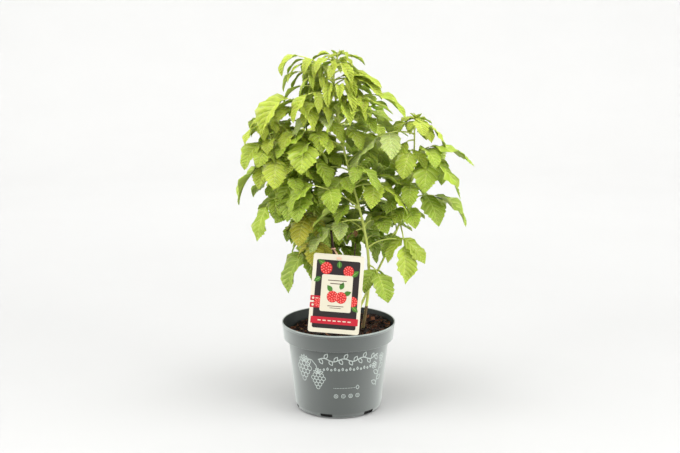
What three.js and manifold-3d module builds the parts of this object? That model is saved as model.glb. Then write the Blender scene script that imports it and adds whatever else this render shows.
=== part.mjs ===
// A raspberry cane in a plastic nursery pot, as separate named solids.
//
// Millimetres, +Z up. The origin is the centre of the pot's flat underside, -Y is the
// front of the plant and +X is its right-hand side. Angles are in degrees; a heading of
// 0 points along +X, 90 to the back, 180 to the left and 270 to the front.
//
// The plant is six slender canes that rise from the soil, two old woody stubs, one
// short leafy tip on each cane, and the single leaves along it. A leaf is a stalk that
// bends over under its own weight, with one end leaflet and one or two side pairs.

import * as THREE from 'three';
import { mergeVertices } from 'three/addons/utils/BufferGeometryUtils.js';
import Module from 'manifold-3d';

const wasm = await Module();
wasm.setup();

const RAD = Math.PI / 180;

// ---------- driving dimensions ----------

const GAP = 0.3; // clear space between neighbouring sub-parts
const TOUCH = 1e-5; // mm3; a smaller overlap is rounding

const POT = {
  height: 148,
  rimRadius: 95,
  wall: 1.8,
  lipFoot: { radius: 92.4, height: 120.4 }, // lower edge of the turned-out lip
  neck: { radius: 84.2, height: 119 }, // where the lip's underside meets the wall
  heel: { radius: 73.3, height: 9 }, // where the wall starts to round under
  round: { radius: 71.3, height: 2.7 }, // a point on that rounding
  sole: 66, // radius of the flat underside
  floor: 2.2,
  cove: 1.3, // the inside corner lies this much higher than the rounding outside it
  segments: 48,
};

// Slots through the rounding: the heading of the first, their width, the heights they
// run between, and the radius they start from and their depth beyond it.
const DRAIN = { count: 6, first: 254, width: 20, from: 2.6, to: 8.2, inside: 63, depth: 14 };

const SOIL = {
  level: 128, // height at the pot's axis
  slopeX: 0.085, // it lies deeper on the left
  slopeY: 0.05, // and in front
  lump: 1.6,
  play: 0.4, // clear of the pot's wall
  brow: 0.9, // its flank ends at this share of the way from the pot's heel to its neck
  rings: [0.92, 0.7, 0.46, 0.22],
};

const LABEL = {
  width: 82,
  height: 126,
  thickness: 0.8,
  corner: 4,
  lean: 15, // backwards, off the upright
  turn: -4.6, // in its own plane
  foot: [-8.5, -89.5], // middle of its lower edge, which rests on the rim
  slot: { width: 5, height: 1.7, below: 6 },
};

// The strap's band leaves the label's back by the lead, and arches between that and
// its loop; play is the loop's clearance round the stub.
const STRAP = {
  width: 2.6,
  thickness: 0.8,
  head: [7, 3.4],
  lead: 2,
  crest: 2,
  loopHeight: 276,
  loopWall: 1,
  loopSegments: 16,
  play: 0.55,
  steps: 6,
};

// A cane widens by the flare at its foot, which fades upwards, and is sunk into the soil
// by this much before the soil cuts it level.
const CANE = { sides: 6, steps: 9, flare: 0.35, fade: 25, sunk: 8 };

// Each cane runs from its foot on the soil to its tip. The bow bends it to one side
// between the two, and the wave bends it one way low down and the other way high up.
const CANES = {
  main: { foot: [40, -4], tip: [-8, 4, 552], bow: [18, -8], wave: [10, 0], radii: [3.0, 1.8] },
  right: { foot: [20, 12], tip: [124, 4, 468], bow: [25, 2], wave: [-5, 0], radii: [3.0, 1.4] },
  mid: { foot: [-8, 12], tip: [-54, 14, 496], bow: [-8, 6], wave: [0, 0], radii: [3.0, 1.4] },
  left: { foot: [-22, 18], tip: [-116, 0, 470], bow: [16, 8], wave: [0, 6], radii: [2.9, 1.3] },
  back: { foot: [12, 34], tip: [34, 92, 480], bow: [6, 16], wave: [0, 0], radii: [3.0, 1.4] },
  rear: { foot: [-16, 40], tip: [-66, 112, 430], bow: [0, 14], wave: [4, 0], radii: [2.8, 1.3] },
};

// Old canes cut short, dead and without leaves.
const STUBS = {
  stub_tall: { foot: [2, -14], tip: [-12, -24, 306], bow: [2, 0], wave: [0, 0], radii: [2.7, 2.2] },
  stub_thin: { foot: [16, -18], tip: [28, -22, 284], bow: [0, 0], wave: [0, 0], radii: [1.7, 1.1] },
};

// A tip's stem rises at this angle and leans outwards by the sag.
const STALK = { steps: 2, radii: [1.3, 0.9] };
const STEM = { radii: [1.7, 1.3], rise: 84, sag: 10 };

const LEAFLET = {
  breadth: 0.64, // width as a share of the length
  endBreadth: 0.76, // the same for an end leaflet
  stations: [0, 0.3, 0.72, 1], // shares of the length where the outline has a point
  outline: [0, 1, 0.72, 0], // half width at each, as a share of the widest
  small: { length: 50, stations: [0, 0.4, 1], outline: [0, 1, 0] },
  root: 0.6, // half width where it grows out of the stalk
  thickness: 1.0, // at the midrib
  fold: 14, // each half is turned up from the midrib by this much
  sidePair: 0.82, // size of a side leaflet, as a share of the end one
  lowPair: 0.66,
  spread: 70, // a side leaflet's heading, off the stalk's
  pairs: [0.7, 0.44], // where the pairs sit along the stalk
  follow: 0.45, // how much of the stalk's slope a side leaflet starts with
  nod: 12, // how far it dips below that
  leastSag: 5,
  lengths: [1, 0.8, 0.6], // shares of the length to try where neighbours are in the way
  // Most that a leaflet strays from the rule: degrees, and a share of its length.
  stray: { heading: 9, rise: 8, length: 0.08, droop: 10, fold: 8 },
};

const CROWN_CENTRE = [20, 0, 340];

// The leaves along each cane, from below upwards: share of the cane's length, heading,
// stalk length, rise of the stalk and its sag, length of the end leaflet, number of
// leaflets, the slope that they hang to, and 1 where a smaller leaf grows in its axil.
const LEAVES = {
  main: [
    [0.27, 300, 30, 5, 40, 56, 3, -84, 0],
    [0.45, 200, 56, 12, 40, 56, 3, -58, 0],
    [0.42, 350, 18, 70, 40, 46, 1, 35, 0],
    [0.5, 205, 90, 40, 25, 60, 3, -80, 0],
    [0.58, 340, 52, 25, 40, 62, 3, -70, 0],
    [0.62, 215, 14, 10, 30, 58, 3, -50, 0],
    [0.79, 15, 24, 35, 50, 60, 3, -80, 0],
    [0.76, 195, 62, 35, 40, 64, 3, -72, 0],
    [0.84, 200, 40, 45, 50, 60, 3, -60, 1],
    [0.86, 335, 48, 50, 40, 56, 3, -40, 1],
    [0.88, 352, 66, 42, 40, 64, 3, -54, 0],
    [0.93, 218, 56, 25, 40, 56, 3, -78, 1],
    [0.99, 188, 72, 62, 55, 52, 5, -86, 0],
  ],
  right: [
    [0.54, 280, 48, -30, 25, 64, 3, -66, 0],
    [0.58, 285, 30, 60, 60, 46, 3, -70, 0],
    [0.65, 355, 46, 32, 40, 82, 3, -76, 0],
    [0.64, 135, 44, 80, 10, 74, 3, 50, 0],
    [0.98, 195, 62, 20, 45, 76, 3, -62, 0],
    [0.82, 334, 43, 45, 60, 80, 3, -80, 0],
    [0.86, 352, 32, 58, 40, 86, 3, -56, 0],
  ],
  mid: [
    [0.38, 215, 28, 15, 40, 80, 3, -82, 0],
    [0.47, 20, 45, 30, 40, 56, 3, -74, 1],
    [0.52, 240, 32, 25, 40, 54, 5, -62, 1],
    [0.62, 255, 45, 35, 40, 64, 3, -76, 1],
    [0.71, 215, 34, 15, 40, 64, 3, -64, 1],
    [0.85, 268, 44, 35, 40, 64, 3, -74, 1],
    [0.97, 222, 54, 80, 75, 92, 3, -88, 0],
  ],
  left: [
    [0.65, 206, 62, 45, 100, 56, 3, -88, 0],
    [0.82, 184, 38, 20, 40, 70, 3, -80, 0],
    [0.88, 268, 30, 20, 60, 50, 3, -74, 1],
    [0.93, 205, 22, 25, 40, 50, 3, -80, 1],
    [0.95, 80, 40, 30, 40, 60, 3, -70, 1],
  ],
  back: [
    [0.45, 75, 55, 25, 40, 64, 3, -72, 1],
    [0.55, 10, 60, 30, 40, 64, 3, -72, 1],
    [0.66, 120, 60, 30, 40, 64, 3, -72, 1],
    [0.77, 345, 55, 30, 40, 64, 3, -72, 1],
    [0.88, 60, 50, 30, 40, 60, 3, -72, 1],
  ],
  rear: [
    [0.45, 105, 60, 25, 40, 62, 3, -72, 1],
    [0.56, 262, 55, 30, 40, 62, 3, -72, 1],
    [0.68, 70, 60, 25, 40, 62, 3, -72, 1],
    [0.79, 170, 55, 30, 40, 62, 3, -72, 1],
    [0.9, 300, 50, 30, 40, 60, 3, -72, 1],
  ],
};

// A leaf in another's axil: its heading and rise off that one's, the most its heading
// strays, and its stalk and leaflets as shares of that one's.
const AXIL = { turn: 55, rise: 28, stray: 12, stalk: 0.62, leaflet: 0.74 };

// The leafy tip of each cane: length of its stem, leaves, heading of the first one,
// stalk length and end leaflet's length of the lowest leaf. The leaves wind up it by the
// turn from each to the next; from and span place them along the stem, and steeper and
// the two shrinks are what the topmost has gained and lost against the lowest.
const TIPS = {
  main: { stem: 31, leaves: 8, heading: 8, stalk: 32, leaflet: 56 },
  right: { stem: 14, leaves: 5, heading: 0, stalk: 22, leaflet: 48 },
  mid: { stem: 12, leaves: 4, heading: 350, stalk: 20, leaflet: 42 },
  left: { stem: 14, leaves: 5, heading: 216, stalk: 18, leaflet: 42 },
  back: { stem: 18, leaves: 5, heading: 80, stalk: 28, leaflet: 48 },
  rear: { stem: 18, leaves: 5, heading: 120, stalk: 34, leaflet: 54 },
};

const SPIRAL = {
  turn: 144,
  from: 0.25,
  span: 0.7,
  rise: 30,
  sag: 45,
  droop: -78,
  steeper: 40,
  stalkShrink: 0.55,
  leafletShrink: 0.45,
};

// ---------- materials ----------

function material(color, roughness) {
  return new THREE.MeshStandardMaterial({ color, roughness, metalness: 0 });
}

const MATERIALS = {
  pot: material(0x7c8582, 0.5),
  soil: material(0x2b1c15, 0.95),
  label: material(0xe9e2d0, 0.45),
  strap: material(0xe8b9a0, 0.5),
  cane: material(0x9fb060, 0.6),
  wood: material(0x4a3428, 0.85),
  foliage: material(0x86ab33, 0.6),
};

// ---------- solids ----------

// A closed geometry as a solid: shared corners merged, faces of no area left out.
function solidOf(geometry) {
  const bare = new THREE.BufferGeometry();
  bare.setAttribute('position', geometry.getAttribute('position'));
  bare.setIndex(geometry.getIndex());
  const merged = mergeVertices(bare, 1e-4);
  const corners = merged.getIndex().array;
  const triVerts = [];
  for (let i = 0; i < corners.length; i += 3) {
    const [a, b, c] = corners.slice(i, i + 3);
    if (a !== b && b !== c && c !== a) triVerts.push(a, b, c);
  }
  const vertProperties = new Float32Array(merged.getAttribute('position').array);
  const mesh = new wasm.Mesh({ numProp: 3, vertProperties, triVerts: new Uint32Array(triVerts) });
  return new wasm.Manifold(mesh);
}

function geometryOf(solid) {
  const mesh = solid.getMesh();
  const geometry = new THREE.BufferGeometry();
  geometry.setAttribute('position', new THREE.BufferAttribute(mesh.vertProperties, 3));
  geometry.setIndex(new THREE.BufferAttribute(mesh.triVerts, 1));
  geometry.computeVertexNormals();
  return geometry;
}

function joined(solids) {
  return solids.reduce((whole, solid) => whole.add(solid));
}

// A solid of revolution about +Z from a profile of [radius, height] pairs that closes
// on itself, on the axis or off it.
function turned(profile, segments) {
  const points = profile.map(([radius, height]) => new THREE.Vector2(radius, height));
  return new THREE.LatheGeometry(points, segments).rotateX(Math.PI / 2);
}

// A solid swept through a list of rings: each ring gives the point that the surface has
// in a direction, with across and up on the unit circle. A pointed one ends in its last.
function swept(sides, rings, pointed = false) {
  const last = rings.length - 1;
  const form = new THREE.CylinderGeometry(pointed ? 0 : 1, 1, 1, sides, last);
  const spots = form.getAttribute('position');
  for (let i = 0; i < spots.count; i += 1) {
    const ring = rings[Math.round((spots.getY(i) + 0.5) * last)];
    const reach = Math.hypot(spots.getX(i), spots.getZ(i)) || 1;
    const point = ring(spots.getX(i) / reach, spots.getZ(i) / reach);
    spots.setXYZ(i, point.x, point.y, point.z);
  }
  return form;
}

function evenly(steps) {
  return Array.from({ length: steps + 1 }, (_, i) => i / steps);
}

// ---------- the pot, the soil and the label ----------

// The pot's wall from the sole up to the rim, as [radius, height] pairs, moved inwards;
// lift raises the lip's underside.
function potWall(inset, lift = 0) {
  const { rimRadius, height, lipFoot, neck, heel, round, sole } = POT;
  return [
    [sole - inset, 0],
    [round.radius - inset, round.height],
    [heel.radius - inset, heel.height],
    [neck.radius - inset, neck.height + lift],
    [lipFoot.radius - inset, lipFoot.height + lift],
    [rimRadius - inset, height],
  ];
}

function potSolid() {
  const inner = potWall(POT.wall, POT.wall).slice(1).reverse();
  inner[inner.length - 1][1] += POT.cove;
  const floor = [[POT.sole - POT.wall, POT.floor], [0, POT.floor]];
  let pot = solidOf(turned([[0, 0], ...potWall(0), ...inner, ...floor], POT.segments));
  const { count, first, width, from, to, inside, depth } = DRAIN;
  for (let i = 0; i < count; i += 1) {
    const hole = new THREE.BoxGeometry(depth, width, to - from);
    hole.translate(inside + depth / 2, 0, (from + to) / 2);
    hole.rotateZ((first + (i * 360) / count) * RAD);
    pot = pot.subtract(solidOf(hole));
  }
  return pot;
}

function soilHeight(x, y) {
  const lump = Math.sin(x / 13 + 0.4) * Math.cos(y / 11 - 0.7);
  return SOIL.level + SOIL.slopeX * x + SOIL.slopeY * y + SOIL.lump * lump;
}

// The soil fills the pot to a gently uneven top; raise lifts that top alone. Its lower
// edge stays inside the ring of drain slots.
function soilSolid(raise = 0) {
  const [heel, neck] = potWall(POT.wall + SOIL.play).slice(2, 4);
  const base = POT.floor + GAP;
  const brow = heel.map((from, axis) => from + (neck[axis] - from) * SOIL.brow);
  const [edge] = brow;
  const top = [[edge, POT.height], ...SOIL.rings.map((ring) => [ring * edge, POT.height])];
  const profile = [[0, base], [DRAIN.inside, base], heel, brow, ...top, [0, POT.height]];
  const form = turned(profile, POT.segments);
  const spots = form.getAttribute('position');
  for (let i = 0; i < spots.count; i += 1) {
    const [x, y] = [spots.getX(i), spots.getY(i)];
    if (spots.getZ(i) > POT.height - 1) spots.setZ(i, soilHeight(x, y) + raise);
  }
  return solidOf(form);
}

// The label's own frame has its origin at the middle of the lower edge, x across,
// y up and z out of the printed face.
function labelFrame() {
  const { width, lean, turn, foot } = LABEL;
  const frame = new THREE.Group();
  const dip = (width / 2) * Math.sin(Math.abs(turn) * RAD);
  frame.position.set(foot[0], foot[1], POT.height + GAP + dip);
  frame.rotation.set((90 - lean) * RAD, 0, turn * RAD);
  frame.updateMatrixWorld();
  return frame;
}

function labelSolid() {
  const { width, height, thickness, corner, slot } = LABEL;
  const half = width / 2;
  const card = new THREE.Shape();
  card.moveTo(corner - half, 0);
  card.lineTo(half - corner, 0);
  card.absarc(half - corner, corner, corner, -Math.PI / 2, 0);
  card.absarc(half - corner, height - corner, corner, 0, Math.PI / 2);
  card.absarc(corner - half, height - corner, corner, Math.PI / 2, Math.PI);
  card.absarc(corner - half, corner, corner, Math.PI, Math.PI * 1.5);
  const hole = new THREE.Path();
  const middle = height - slot.below;
  hole.moveTo(-slot.width / 2, middle - slot.height / 2);
  hole.lineTo(-slot.width / 2, middle + slot.height / 2);
  hole.lineTo(slot.width / 2, middle + slot.height / 2);
  hole.lineTo(slot.width / 2, middle - slot.height / 2);
  hole.closePath();
  card.holes.push(hole);
  const form = new THREE.ExtrudeGeometry(card, {
    depth: thickness,
    bevelEnabled: false,
    curveSegments: 3,
  });
  return solidOf(form.translate(0, 0, -thickness));
}

// The strap: a flat head in front of the label, a band through its slot and up to the
// tall stub, and a loop round that stub.
function strapSolid(frame) {
  const { width, thickness, head, lead, crest, loopHeight, loopWall, loopSegments, play } = STRAP;
  const middle = LABEL.height - LABEL.slot.below;
  const plate = new THREE.BoxGeometry(head[0], head[1], thickness);
  plate.translate(0, middle, GAP + thickness / 2).applyMatrix4(frame.matrixWorld);

  const share = (loopHeight - caneFoot(STUBS.stub_tall)) / caneRise(STUBS.stub_tall);
  const centre = canePoint(STUBS.stub_tall, share);
  const inner = caneRadius(STUBS.stub_tall, share) + play;
  const outer = inner + loopWall;
  const half = width / 2;
  const ring = [[inner, -half], [outer, -half], [outer, half], [inner, half], [inner, -half]];
  const loop = turned(ring, loopSegments).translate(centre.x, centre.y, centre.z);

  const through = (depth) => new THREE.Vector3(0, middle, depth).applyMatrix4(frame.matrixWorld);
  const nearStub = centre.clone().add(new THREE.Vector3(0, -inner - loopWall / 2, 0));
  const behind = through(-LABEL.thickness - lead);
  const route = new THREE.CatmullRomCurve3([
    through(GAP + thickness / 2),
    behind,
    behind.clone().lerp(nearStub, 0.5).add(new THREE.Vector3(0, 0, crest)),
    nearStub,
  ]);
  const band = swept(4, evenly(STRAP.steps).map((share) => (across, up) => {
    const side = new THREE.Vector3(1, 0, 0);
    const face = new THREE.Vector3().crossVectors(side, route.getTangent(share)).normalize();
    return route.getPoint(share)
      .addScaledVector(side, ((across - up) * width) / 2)
      .addScaledVector(face, ((across + up) * thickness) / 2);
  }));
  return joined([solidOf(plate), solidOf(loop), solidOf(band)]);
}

// ---------- canes ----------

function caneFoot(cane) {
  return soilHeight(...cane.foot);
}

function caneRise(cane) {
  return cane.tip[2] - caneFoot(cane);
}

function canePoint(cane, share) {
  const { foot, tip, bow, wave } = cane;
  const bowed = Math.sin(Math.PI * share);
  const waved = Math.sin(2 * Math.PI * share);
  const level = (axis) => foot[axis] + (tip[axis] - foot[axis]) * share + bow[axis] * bowed + wave[axis] * waved;
  return new THREE.Vector3(level(0), level(1), caneFoot(cane) + caneRise(cane) * share);
}

// The radius tapers evenly and flares a little at the foot.
function caneRadius(cane, share) {
  const even = cane.radii[0] + (cane.radii[1] - cane.radii[0]) * share;
  return even * (1 + CANE.flare * Math.exp(-share * CANE.fade));
}

// A cane, cut level with the soil; extra widens it, for cutting its neighbours clear.
function caneSolid(cane, soil, extra = 0) {
  const start = -CANE.sunk / caneRise(cane);
  const rings = evenly(CANE.steps).map((part) => (across, up) => {
    const share = start + (1 - start) * part;
    const radius = caneRadius(cane, Math.max(share, 0)) + extra;
    const lift = part === 1 ? extra : 0;
    return canePoint(cane, share).add(new THREE.Vector3(across * radius, -up * radius, lift));
  });
  return solidOf(swept(CANE.sides, rings)).subtract(soil);
}

// ---------- leaves ----------

// An even spread of numbers from -1 to 1, the same for the same seed.
function spread(seed) {
  const far = Math.sin(seed * 12.9898 + 4.1414) * 4375.85453;
  return (far - Math.floor(far)) * 2 - 1;
}

// A circular arc in the upright plane of its heading: it starts at the given rise and
// has turned down by sag at its end.
function arc(root, heading, rise, length, sag) {
  const outward = new THREE.Vector3(Math.cos(heading * RAD), Math.sin(heading * RAD), 0);
  const side = new THREE.Vector3(outward.y, -outward.x, 0);
  const bend = sag * RAD;
  return (share) => {
    const slope = rise * RAD - bend * share;
    const run = (length * (Math.sin(rise * RAD) - Math.sin(slope))) / bend;
    const lift = (length * (Math.cos(slope) - Math.cos(rise * RAD))) / bend;
    return {
      point: root.clone().addScaledVector(outward, run).add(new THREE.Vector3(0, 0, lift)),
      face: outward.clone().multiplyScalar(-Math.sin(slope)).setZ(Math.cos(slope)),
      side,
      slope: slope / RAD,
    };
  };
}

// The ring of a stalk or a blade at a place on its arc: half its width, half its
// thickness, and how far its two edges are lifted.
function ringAt({ point, face, side }, half, thick, lift = 0) {
  return (across, up) => point.clone()
    .addScaledVector(side, across * half)
    .addScaledVector(face, up * thick + Math.abs(across) * lift);
}

function stalkRings(path, radii) {
  return evenly(STALK.steps).map((share) => {
    const radius = radii[0] + (radii[1] - radii[0]) * share;
    return ringAt(path(share), radius, radius);
  });
}

// The rings of a leaflet: a thin blade with sharp edges along an arc, its halves turned
// up from the midrib. extra thickens and widens it, for testing that it stands clear.
function bladeRings({ root, heading, rise, length, breadth, sag, fold }, extra = 0) {
  const path = arc(root, heading, rise, length + extra, sag);
  const { stations, outline } = length < LEAFLET.small.length ? LEAFLET.small : LEAFLET;
  return stations.map((share, i) => {
    const half = Math.max(((length * breadth) / 2) * outline[i], LEAFLET.root) + extra;
    const [flat, lift] = [half * Math.cos(fold * RAD), half * Math.sin(fold * RAD)];
    return ringAt(path(share), flat, LEAFLET.thickness / 2 + extra, lift);
  });
}

function leafletSolid(leaflet, extra) {
  return solidOf(swept(4, bladeRings(leaflet, extra), true));
}

// One compound leaf: its stalk, and its leaflets as lists of sizes. droop is the slope
// that the leaflets' tips hang to.
function leaf({ root, heading, rise, sag, stalk, size, count, droop, seed }) {
  const path = arc(root, heading, rise, stalk, sag);
  const { stray } = LEAFLET;
  const leaflets = [];
  const grow = (at, turn, share, key) => {
    const follow = turn ? LEAFLET.follow : 1;
    const start = at.slope * follow - LEAFLET.nod + stray.rise * spread(key + 0.3);
    leaflets.push({
      root: at.point,
      heading: heading + turn + stray.heading * spread(key),
      rise: start,
      length: size * share * (1 + stray.length * spread(key + 0.6)),
      breadth: turn ? LEAFLET.breadth : LEAFLET.endBreadth,
      sag: Math.max(start - droop + stray.droop * spread(key + 0.8), LEAFLET.leastSag),
      fold: LEAFLET.fold + stray.fold * spread(key + 0.9),
    });
  };
  for (let pair = 0; pair < (count - 1) / 2; pair += 1) {
    const at = path(LEAFLET.pairs[pair]);
    const share = pair ? LEAFLET.lowPair : LEAFLET.sidePair;
    grow(at, LEAFLET.spread, share, seed + 1 + pair);
    grow(at, -LEAFLET.spread, share, seed + 3 + pair);
  }
  grow(path(1), 0, 1, seed);
  return { path, leaflets };
}

// A mass is the leaves of one node, and the stem that carries them if it has one.
function sideLeaves(caneName, row, index) {
  const [share, heading, stalk, rise, sag, size, count, droop, axil] = row;
  const root = canePoint(CANES[caneName], share);
  const seed = index * 7 + 3 * Object.keys(CANES).indexOf(caneName);
  const first = leaf({ root, heading, rise, sag, stalk, size, count, droop, seed });
  if (!axil) return { leaves: [first] };
  const second = leaf({
    root,
    heading: heading + AXIL.turn * (index % 2 ? 1 : -1) + AXIL.stray * spread(seed + 0.4),
    rise: rise + AXIL.rise,
    sag,
    stalk: stalk * AXIL.stalk,
    size: size * AXIL.leaflet,
    count: 3,
    droop,
    seed: seed + 0.5,
  });
  return { leaves: [first, second] };
}

// A cane's leafy tip: leaves in a rising spiral round a short stem, each one shorter
// and steeper than the one below it.
function leafyTip(caneName, index) {
  const { stem, leaves, heading, stalk, leaflet } = TIPS[caneName];
  const foot = canePoint(CANES[caneName], 1).add(new THREE.Vector3(0, 0, GAP));
  const path = arc(foot, heading, STEM.rise, stem, STEM.sag);
  const spiral = evenly(leaves - 1).map((climb, i) => leaf({
    root: path(SPIRAL.from + SPIRAL.span * climb).point,
    heading: heading + i * SPIRAL.turn,
    rise: SPIRAL.rise + SPIRAL.steeper * climb,
    sag: SPIRAL.sag,
    stalk: stalk * (1 - SPIRAL.stalkShrink * climb),
    size: leaflet * (1 - SPIRAL.leafletShrink * climb),
    count: 3,
    droop: SPIRAL.droop + SPIRAL.steeper * climb,
    seed: index * 31 + i * 5,
  }));
  return { stem: solidOf(swept(4, stalkRings(path, STEM.radii))), leaves: spiral };
}

// ---------- the assembly ----------

const plant = new THREE.Group();
const taken = []; // every solid placed so far, with its name and its bounding box

function add(name, solid, look, parent = plant) {
  const mesh = new THREE.Mesh(geometryOf(solid), look);
  mesh.name = name;
  parent.add(mesh);
}

function occupy(name, solid, owner = null) {
  const { min, max } = solid.boundingBox();
  taken.push({ name, solid, owner, min, max });
}

// Whether a leaflet's solid touches nothing but the stalks of its own mass and its own
// leaf's other leaflets.
function isClear(leafOwner, solid) {
  const { min, max } = solid.boundingBox();
  const near = (other) => [0, 1, 2].every((k) => other.min[k] < max[k] && min[k] < other.max[k]);
  const own = (other) => (other.owner ? other.owner === leafOwner : other.name === leafOwner.mass.name);
  return !taken.some((other) => !own(other) && near(other)
    && solid.intersect(other.solid).volume() > TOUCH);
}

const soil = soilSolid();
const raisedSoil = soilSolid(GAP);
const pot = potSolid();
add('pot', pot, MATERIALS.pot);
add('soil', soil, MATERIALS.soil);
occupy('pot', pot);
occupy('soil', soil);

const frame = labelFrame();
const label = labelSolid();
add('label', label, MATERIALS.label, frame);
plant.add(frame);
occupy('label', label.transform(frame.matrixWorld.elements));

const strap = strapSolid(frame);
add('label_strap', strap, MATERIALS.strap);
occupy('label_strap', strap);

for (const [name, stub] of Object.entries(STUBS)) {
  const solid = caneSolid(stub, raisedSoil);
  add(name, solid, MATERIALS.wood);
  occupy(name, solid);
}

const wide = {}; // each cane with its clearance round it
for (const [name, cane] of Object.entries(CANES)) {
  const solid = caneSolid(cane, raisedSoil);
  wide[name] = caneSolid(cane, raisedSoil, GAP);
  add(`cane_${name}`, solid, MATERIALS.cane);
  occupy(`cane_${name}`, solid);
}

const masses = [];
Object.keys(CANES).forEach((caneName, index) => {
  masses.push({ name: `tip_${caneName}`, caneName, ...leafyTip(caneName, index) });
  LEAVES[caneName].forEach((row, i) => {
    masses.push({ name: `leaf_${caneName}_${i + 1}`, caneName, ...sideLeaves(caneName, row, i) });
  });
});

// Stalks stand first, cut clear of their cane.
const leaves = masses.flatMap((mass) => mass.leaves.map((own) => ({ mass, ...own, blades: [] })));
for (const { mass, path } of leaves) {
  const stalk = solidOf(swept(4, stalkRings(path, STALK.radii))).subtract(wide[mass.caneName]);
  occupy(mass.name, stalk);
}

// Leaflets follow from the outside of the crown inwards. One that would touch another
// mass, a cane, the label or the pot is made shorter, and left out if that isn't enough.
const centre = new THREE.Vector3(...CROWN_CENTRE);
const tipOf = ({ root, heading, rise, length, sag }) => arc(root, heading, rise, length, sag)(1).point;
const queue = leaves.flatMap((owner) => owner.leaflets.map((leaflet) => ({ owner, leaflet })));
queue.sort((a, b) => tipOf(b.leaflet).distanceTo(centre) - tipOf(a.leaflet).distanceTo(centre));
for (const { owner, leaflet } of queue) {
  const fits = LEAFLET.lengths
    .map((share) => ({ ...leaflet, length: leaflet.length * share }))
    .find((shorter) => isClear(owner, leafletSolid(shorter, GAP)));
  if (fits) {
    leaflet.length = fits.length;
    owner.blades.push(leaflet);
    occupy(owner.mass.name, leafletSolid(leaflet), owner);
  }
}

// The end leaflet is one sweep with its stalk, and the side ones are sunk into that.
function leafSolid({ path, leaflets, blades }) {
  const rings = stalkRings(path, STALK.radii);
  const end = leaflets[leaflets.length - 1];
  const full = blades.includes(end);
  const spine = swept(4, full ? [...rings.slice(0, -1), ...bladeRings(end)] : rings, full);
  const sides = blades.filter((blade) => blade !== end).map((blade) => leafletSolid(blade));
  return joined([solidOf(spine), ...sides]);
}

for (const mass of masses) {
  const own = leaves.filter((one) => one.mass === mass).map(leafSolid);
  const whole = joined(mass.stem ? [mass.stem, ...own] : own).subtract(wide[mass.caneName]);
  const pieces = whole.decompose().sort((a, b) => b.volume() - a.volume());
  add(mass.name, pieces[0], MATERIALS.foliage);
}

export default plant;
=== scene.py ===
"""A young raspberry plant in a plastic nursery pot, grown over its solids.

Shapes are worked out in millimetres and become metres when a piece is made. +Z is up,
-Y is the front of the plant and +X its right-hand side. Angles are in degrees; a heading
of 0 points along +X, 90 to the back, 180 to the left and 270 to the front.
"""
import math

import bpy
import numpy as np
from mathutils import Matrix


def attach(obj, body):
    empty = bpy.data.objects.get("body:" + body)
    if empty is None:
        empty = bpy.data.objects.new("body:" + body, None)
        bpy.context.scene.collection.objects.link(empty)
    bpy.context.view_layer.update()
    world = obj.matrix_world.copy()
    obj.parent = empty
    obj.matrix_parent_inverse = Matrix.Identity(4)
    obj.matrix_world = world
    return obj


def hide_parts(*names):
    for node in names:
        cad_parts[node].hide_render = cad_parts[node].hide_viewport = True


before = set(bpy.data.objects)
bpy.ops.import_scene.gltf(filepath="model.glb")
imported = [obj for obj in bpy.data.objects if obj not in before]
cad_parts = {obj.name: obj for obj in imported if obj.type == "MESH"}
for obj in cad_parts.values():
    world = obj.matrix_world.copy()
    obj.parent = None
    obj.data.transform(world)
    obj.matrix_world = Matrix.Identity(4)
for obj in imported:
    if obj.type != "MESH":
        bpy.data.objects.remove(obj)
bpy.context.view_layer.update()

MM = 0.001
RAD = math.pi / 180
NODES = sorted(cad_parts)

# ---------- the plant's rule, as its solids have it ----------

POT = {"height": 148, "rim": 95, "wall": 1.8, "lip": (92.4, 120.4), "neck": (84.2, 119),
       "heel": (73.3, 9), "round": (71.3, 2.7), "sole": 66, "edge": 2.3}
DRAIN = {"count": 6, "first": 254, "span": 16, "from": 2.6, "to": 8.2, "depth": 2.4}
SOIL = {"level": 128, "slope": (0.085, 0.05), "lump": 1.6}
LABEL = {"width": 82, "height": 126, "thickness": 0.8, "corner": 4, "lean": 15, "turn": -4.6,
         "foot": (-8.5, -89.5), "slot": (5, 1.7), "below": 6}
GAP = 0.3

CANES = {
    "main": dict(foot=(40, -4), tip=(-8, 4, 552), bow=(18, -8), wave=(10, 0), radii=(3.0, 1.8)),
    "right": dict(foot=(20, 12), tip=(124, 4, 468), bow=(25, 2), wave=(-5, 0), radii=(3.0, 1.4)),
    "mid": dict(foot=(-8, 12), tip=(-54, 14, 496), bow=(-8, 6), wave=(0, 0), radii=(3.0, 1.4)),
    "left": dict(foot=(-22, 18), tip=(-116, 0, 470), bow=(16, 8), wave=(0, 6), radii=(2.9, 1.3)),
    "back": dict(foot=(12, 34), tip=(34, 92, 480), bow=(6, 16), wave=(0, 0), radii=(3.0, 1.4)),
    "rear": dict(foot=(-16, 40), tip=(-66, 112, 430), bow=(0, 14), wave=(4, 0), radii=(2.8, 1.3)),
}
STUBS = {
    "stub_tall": dict(foot=(2, -14), tip=(-12, -24, 306), bow=(2, 0), wave=(0, 0), radii=(2.7, 2.2)),
    "stub_thin": dict(foot=(16, -18), tip=(28, -22, 284), bow=(0, 0), wave=(0, 0), radii=(1.7, 1.1)),
}

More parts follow.
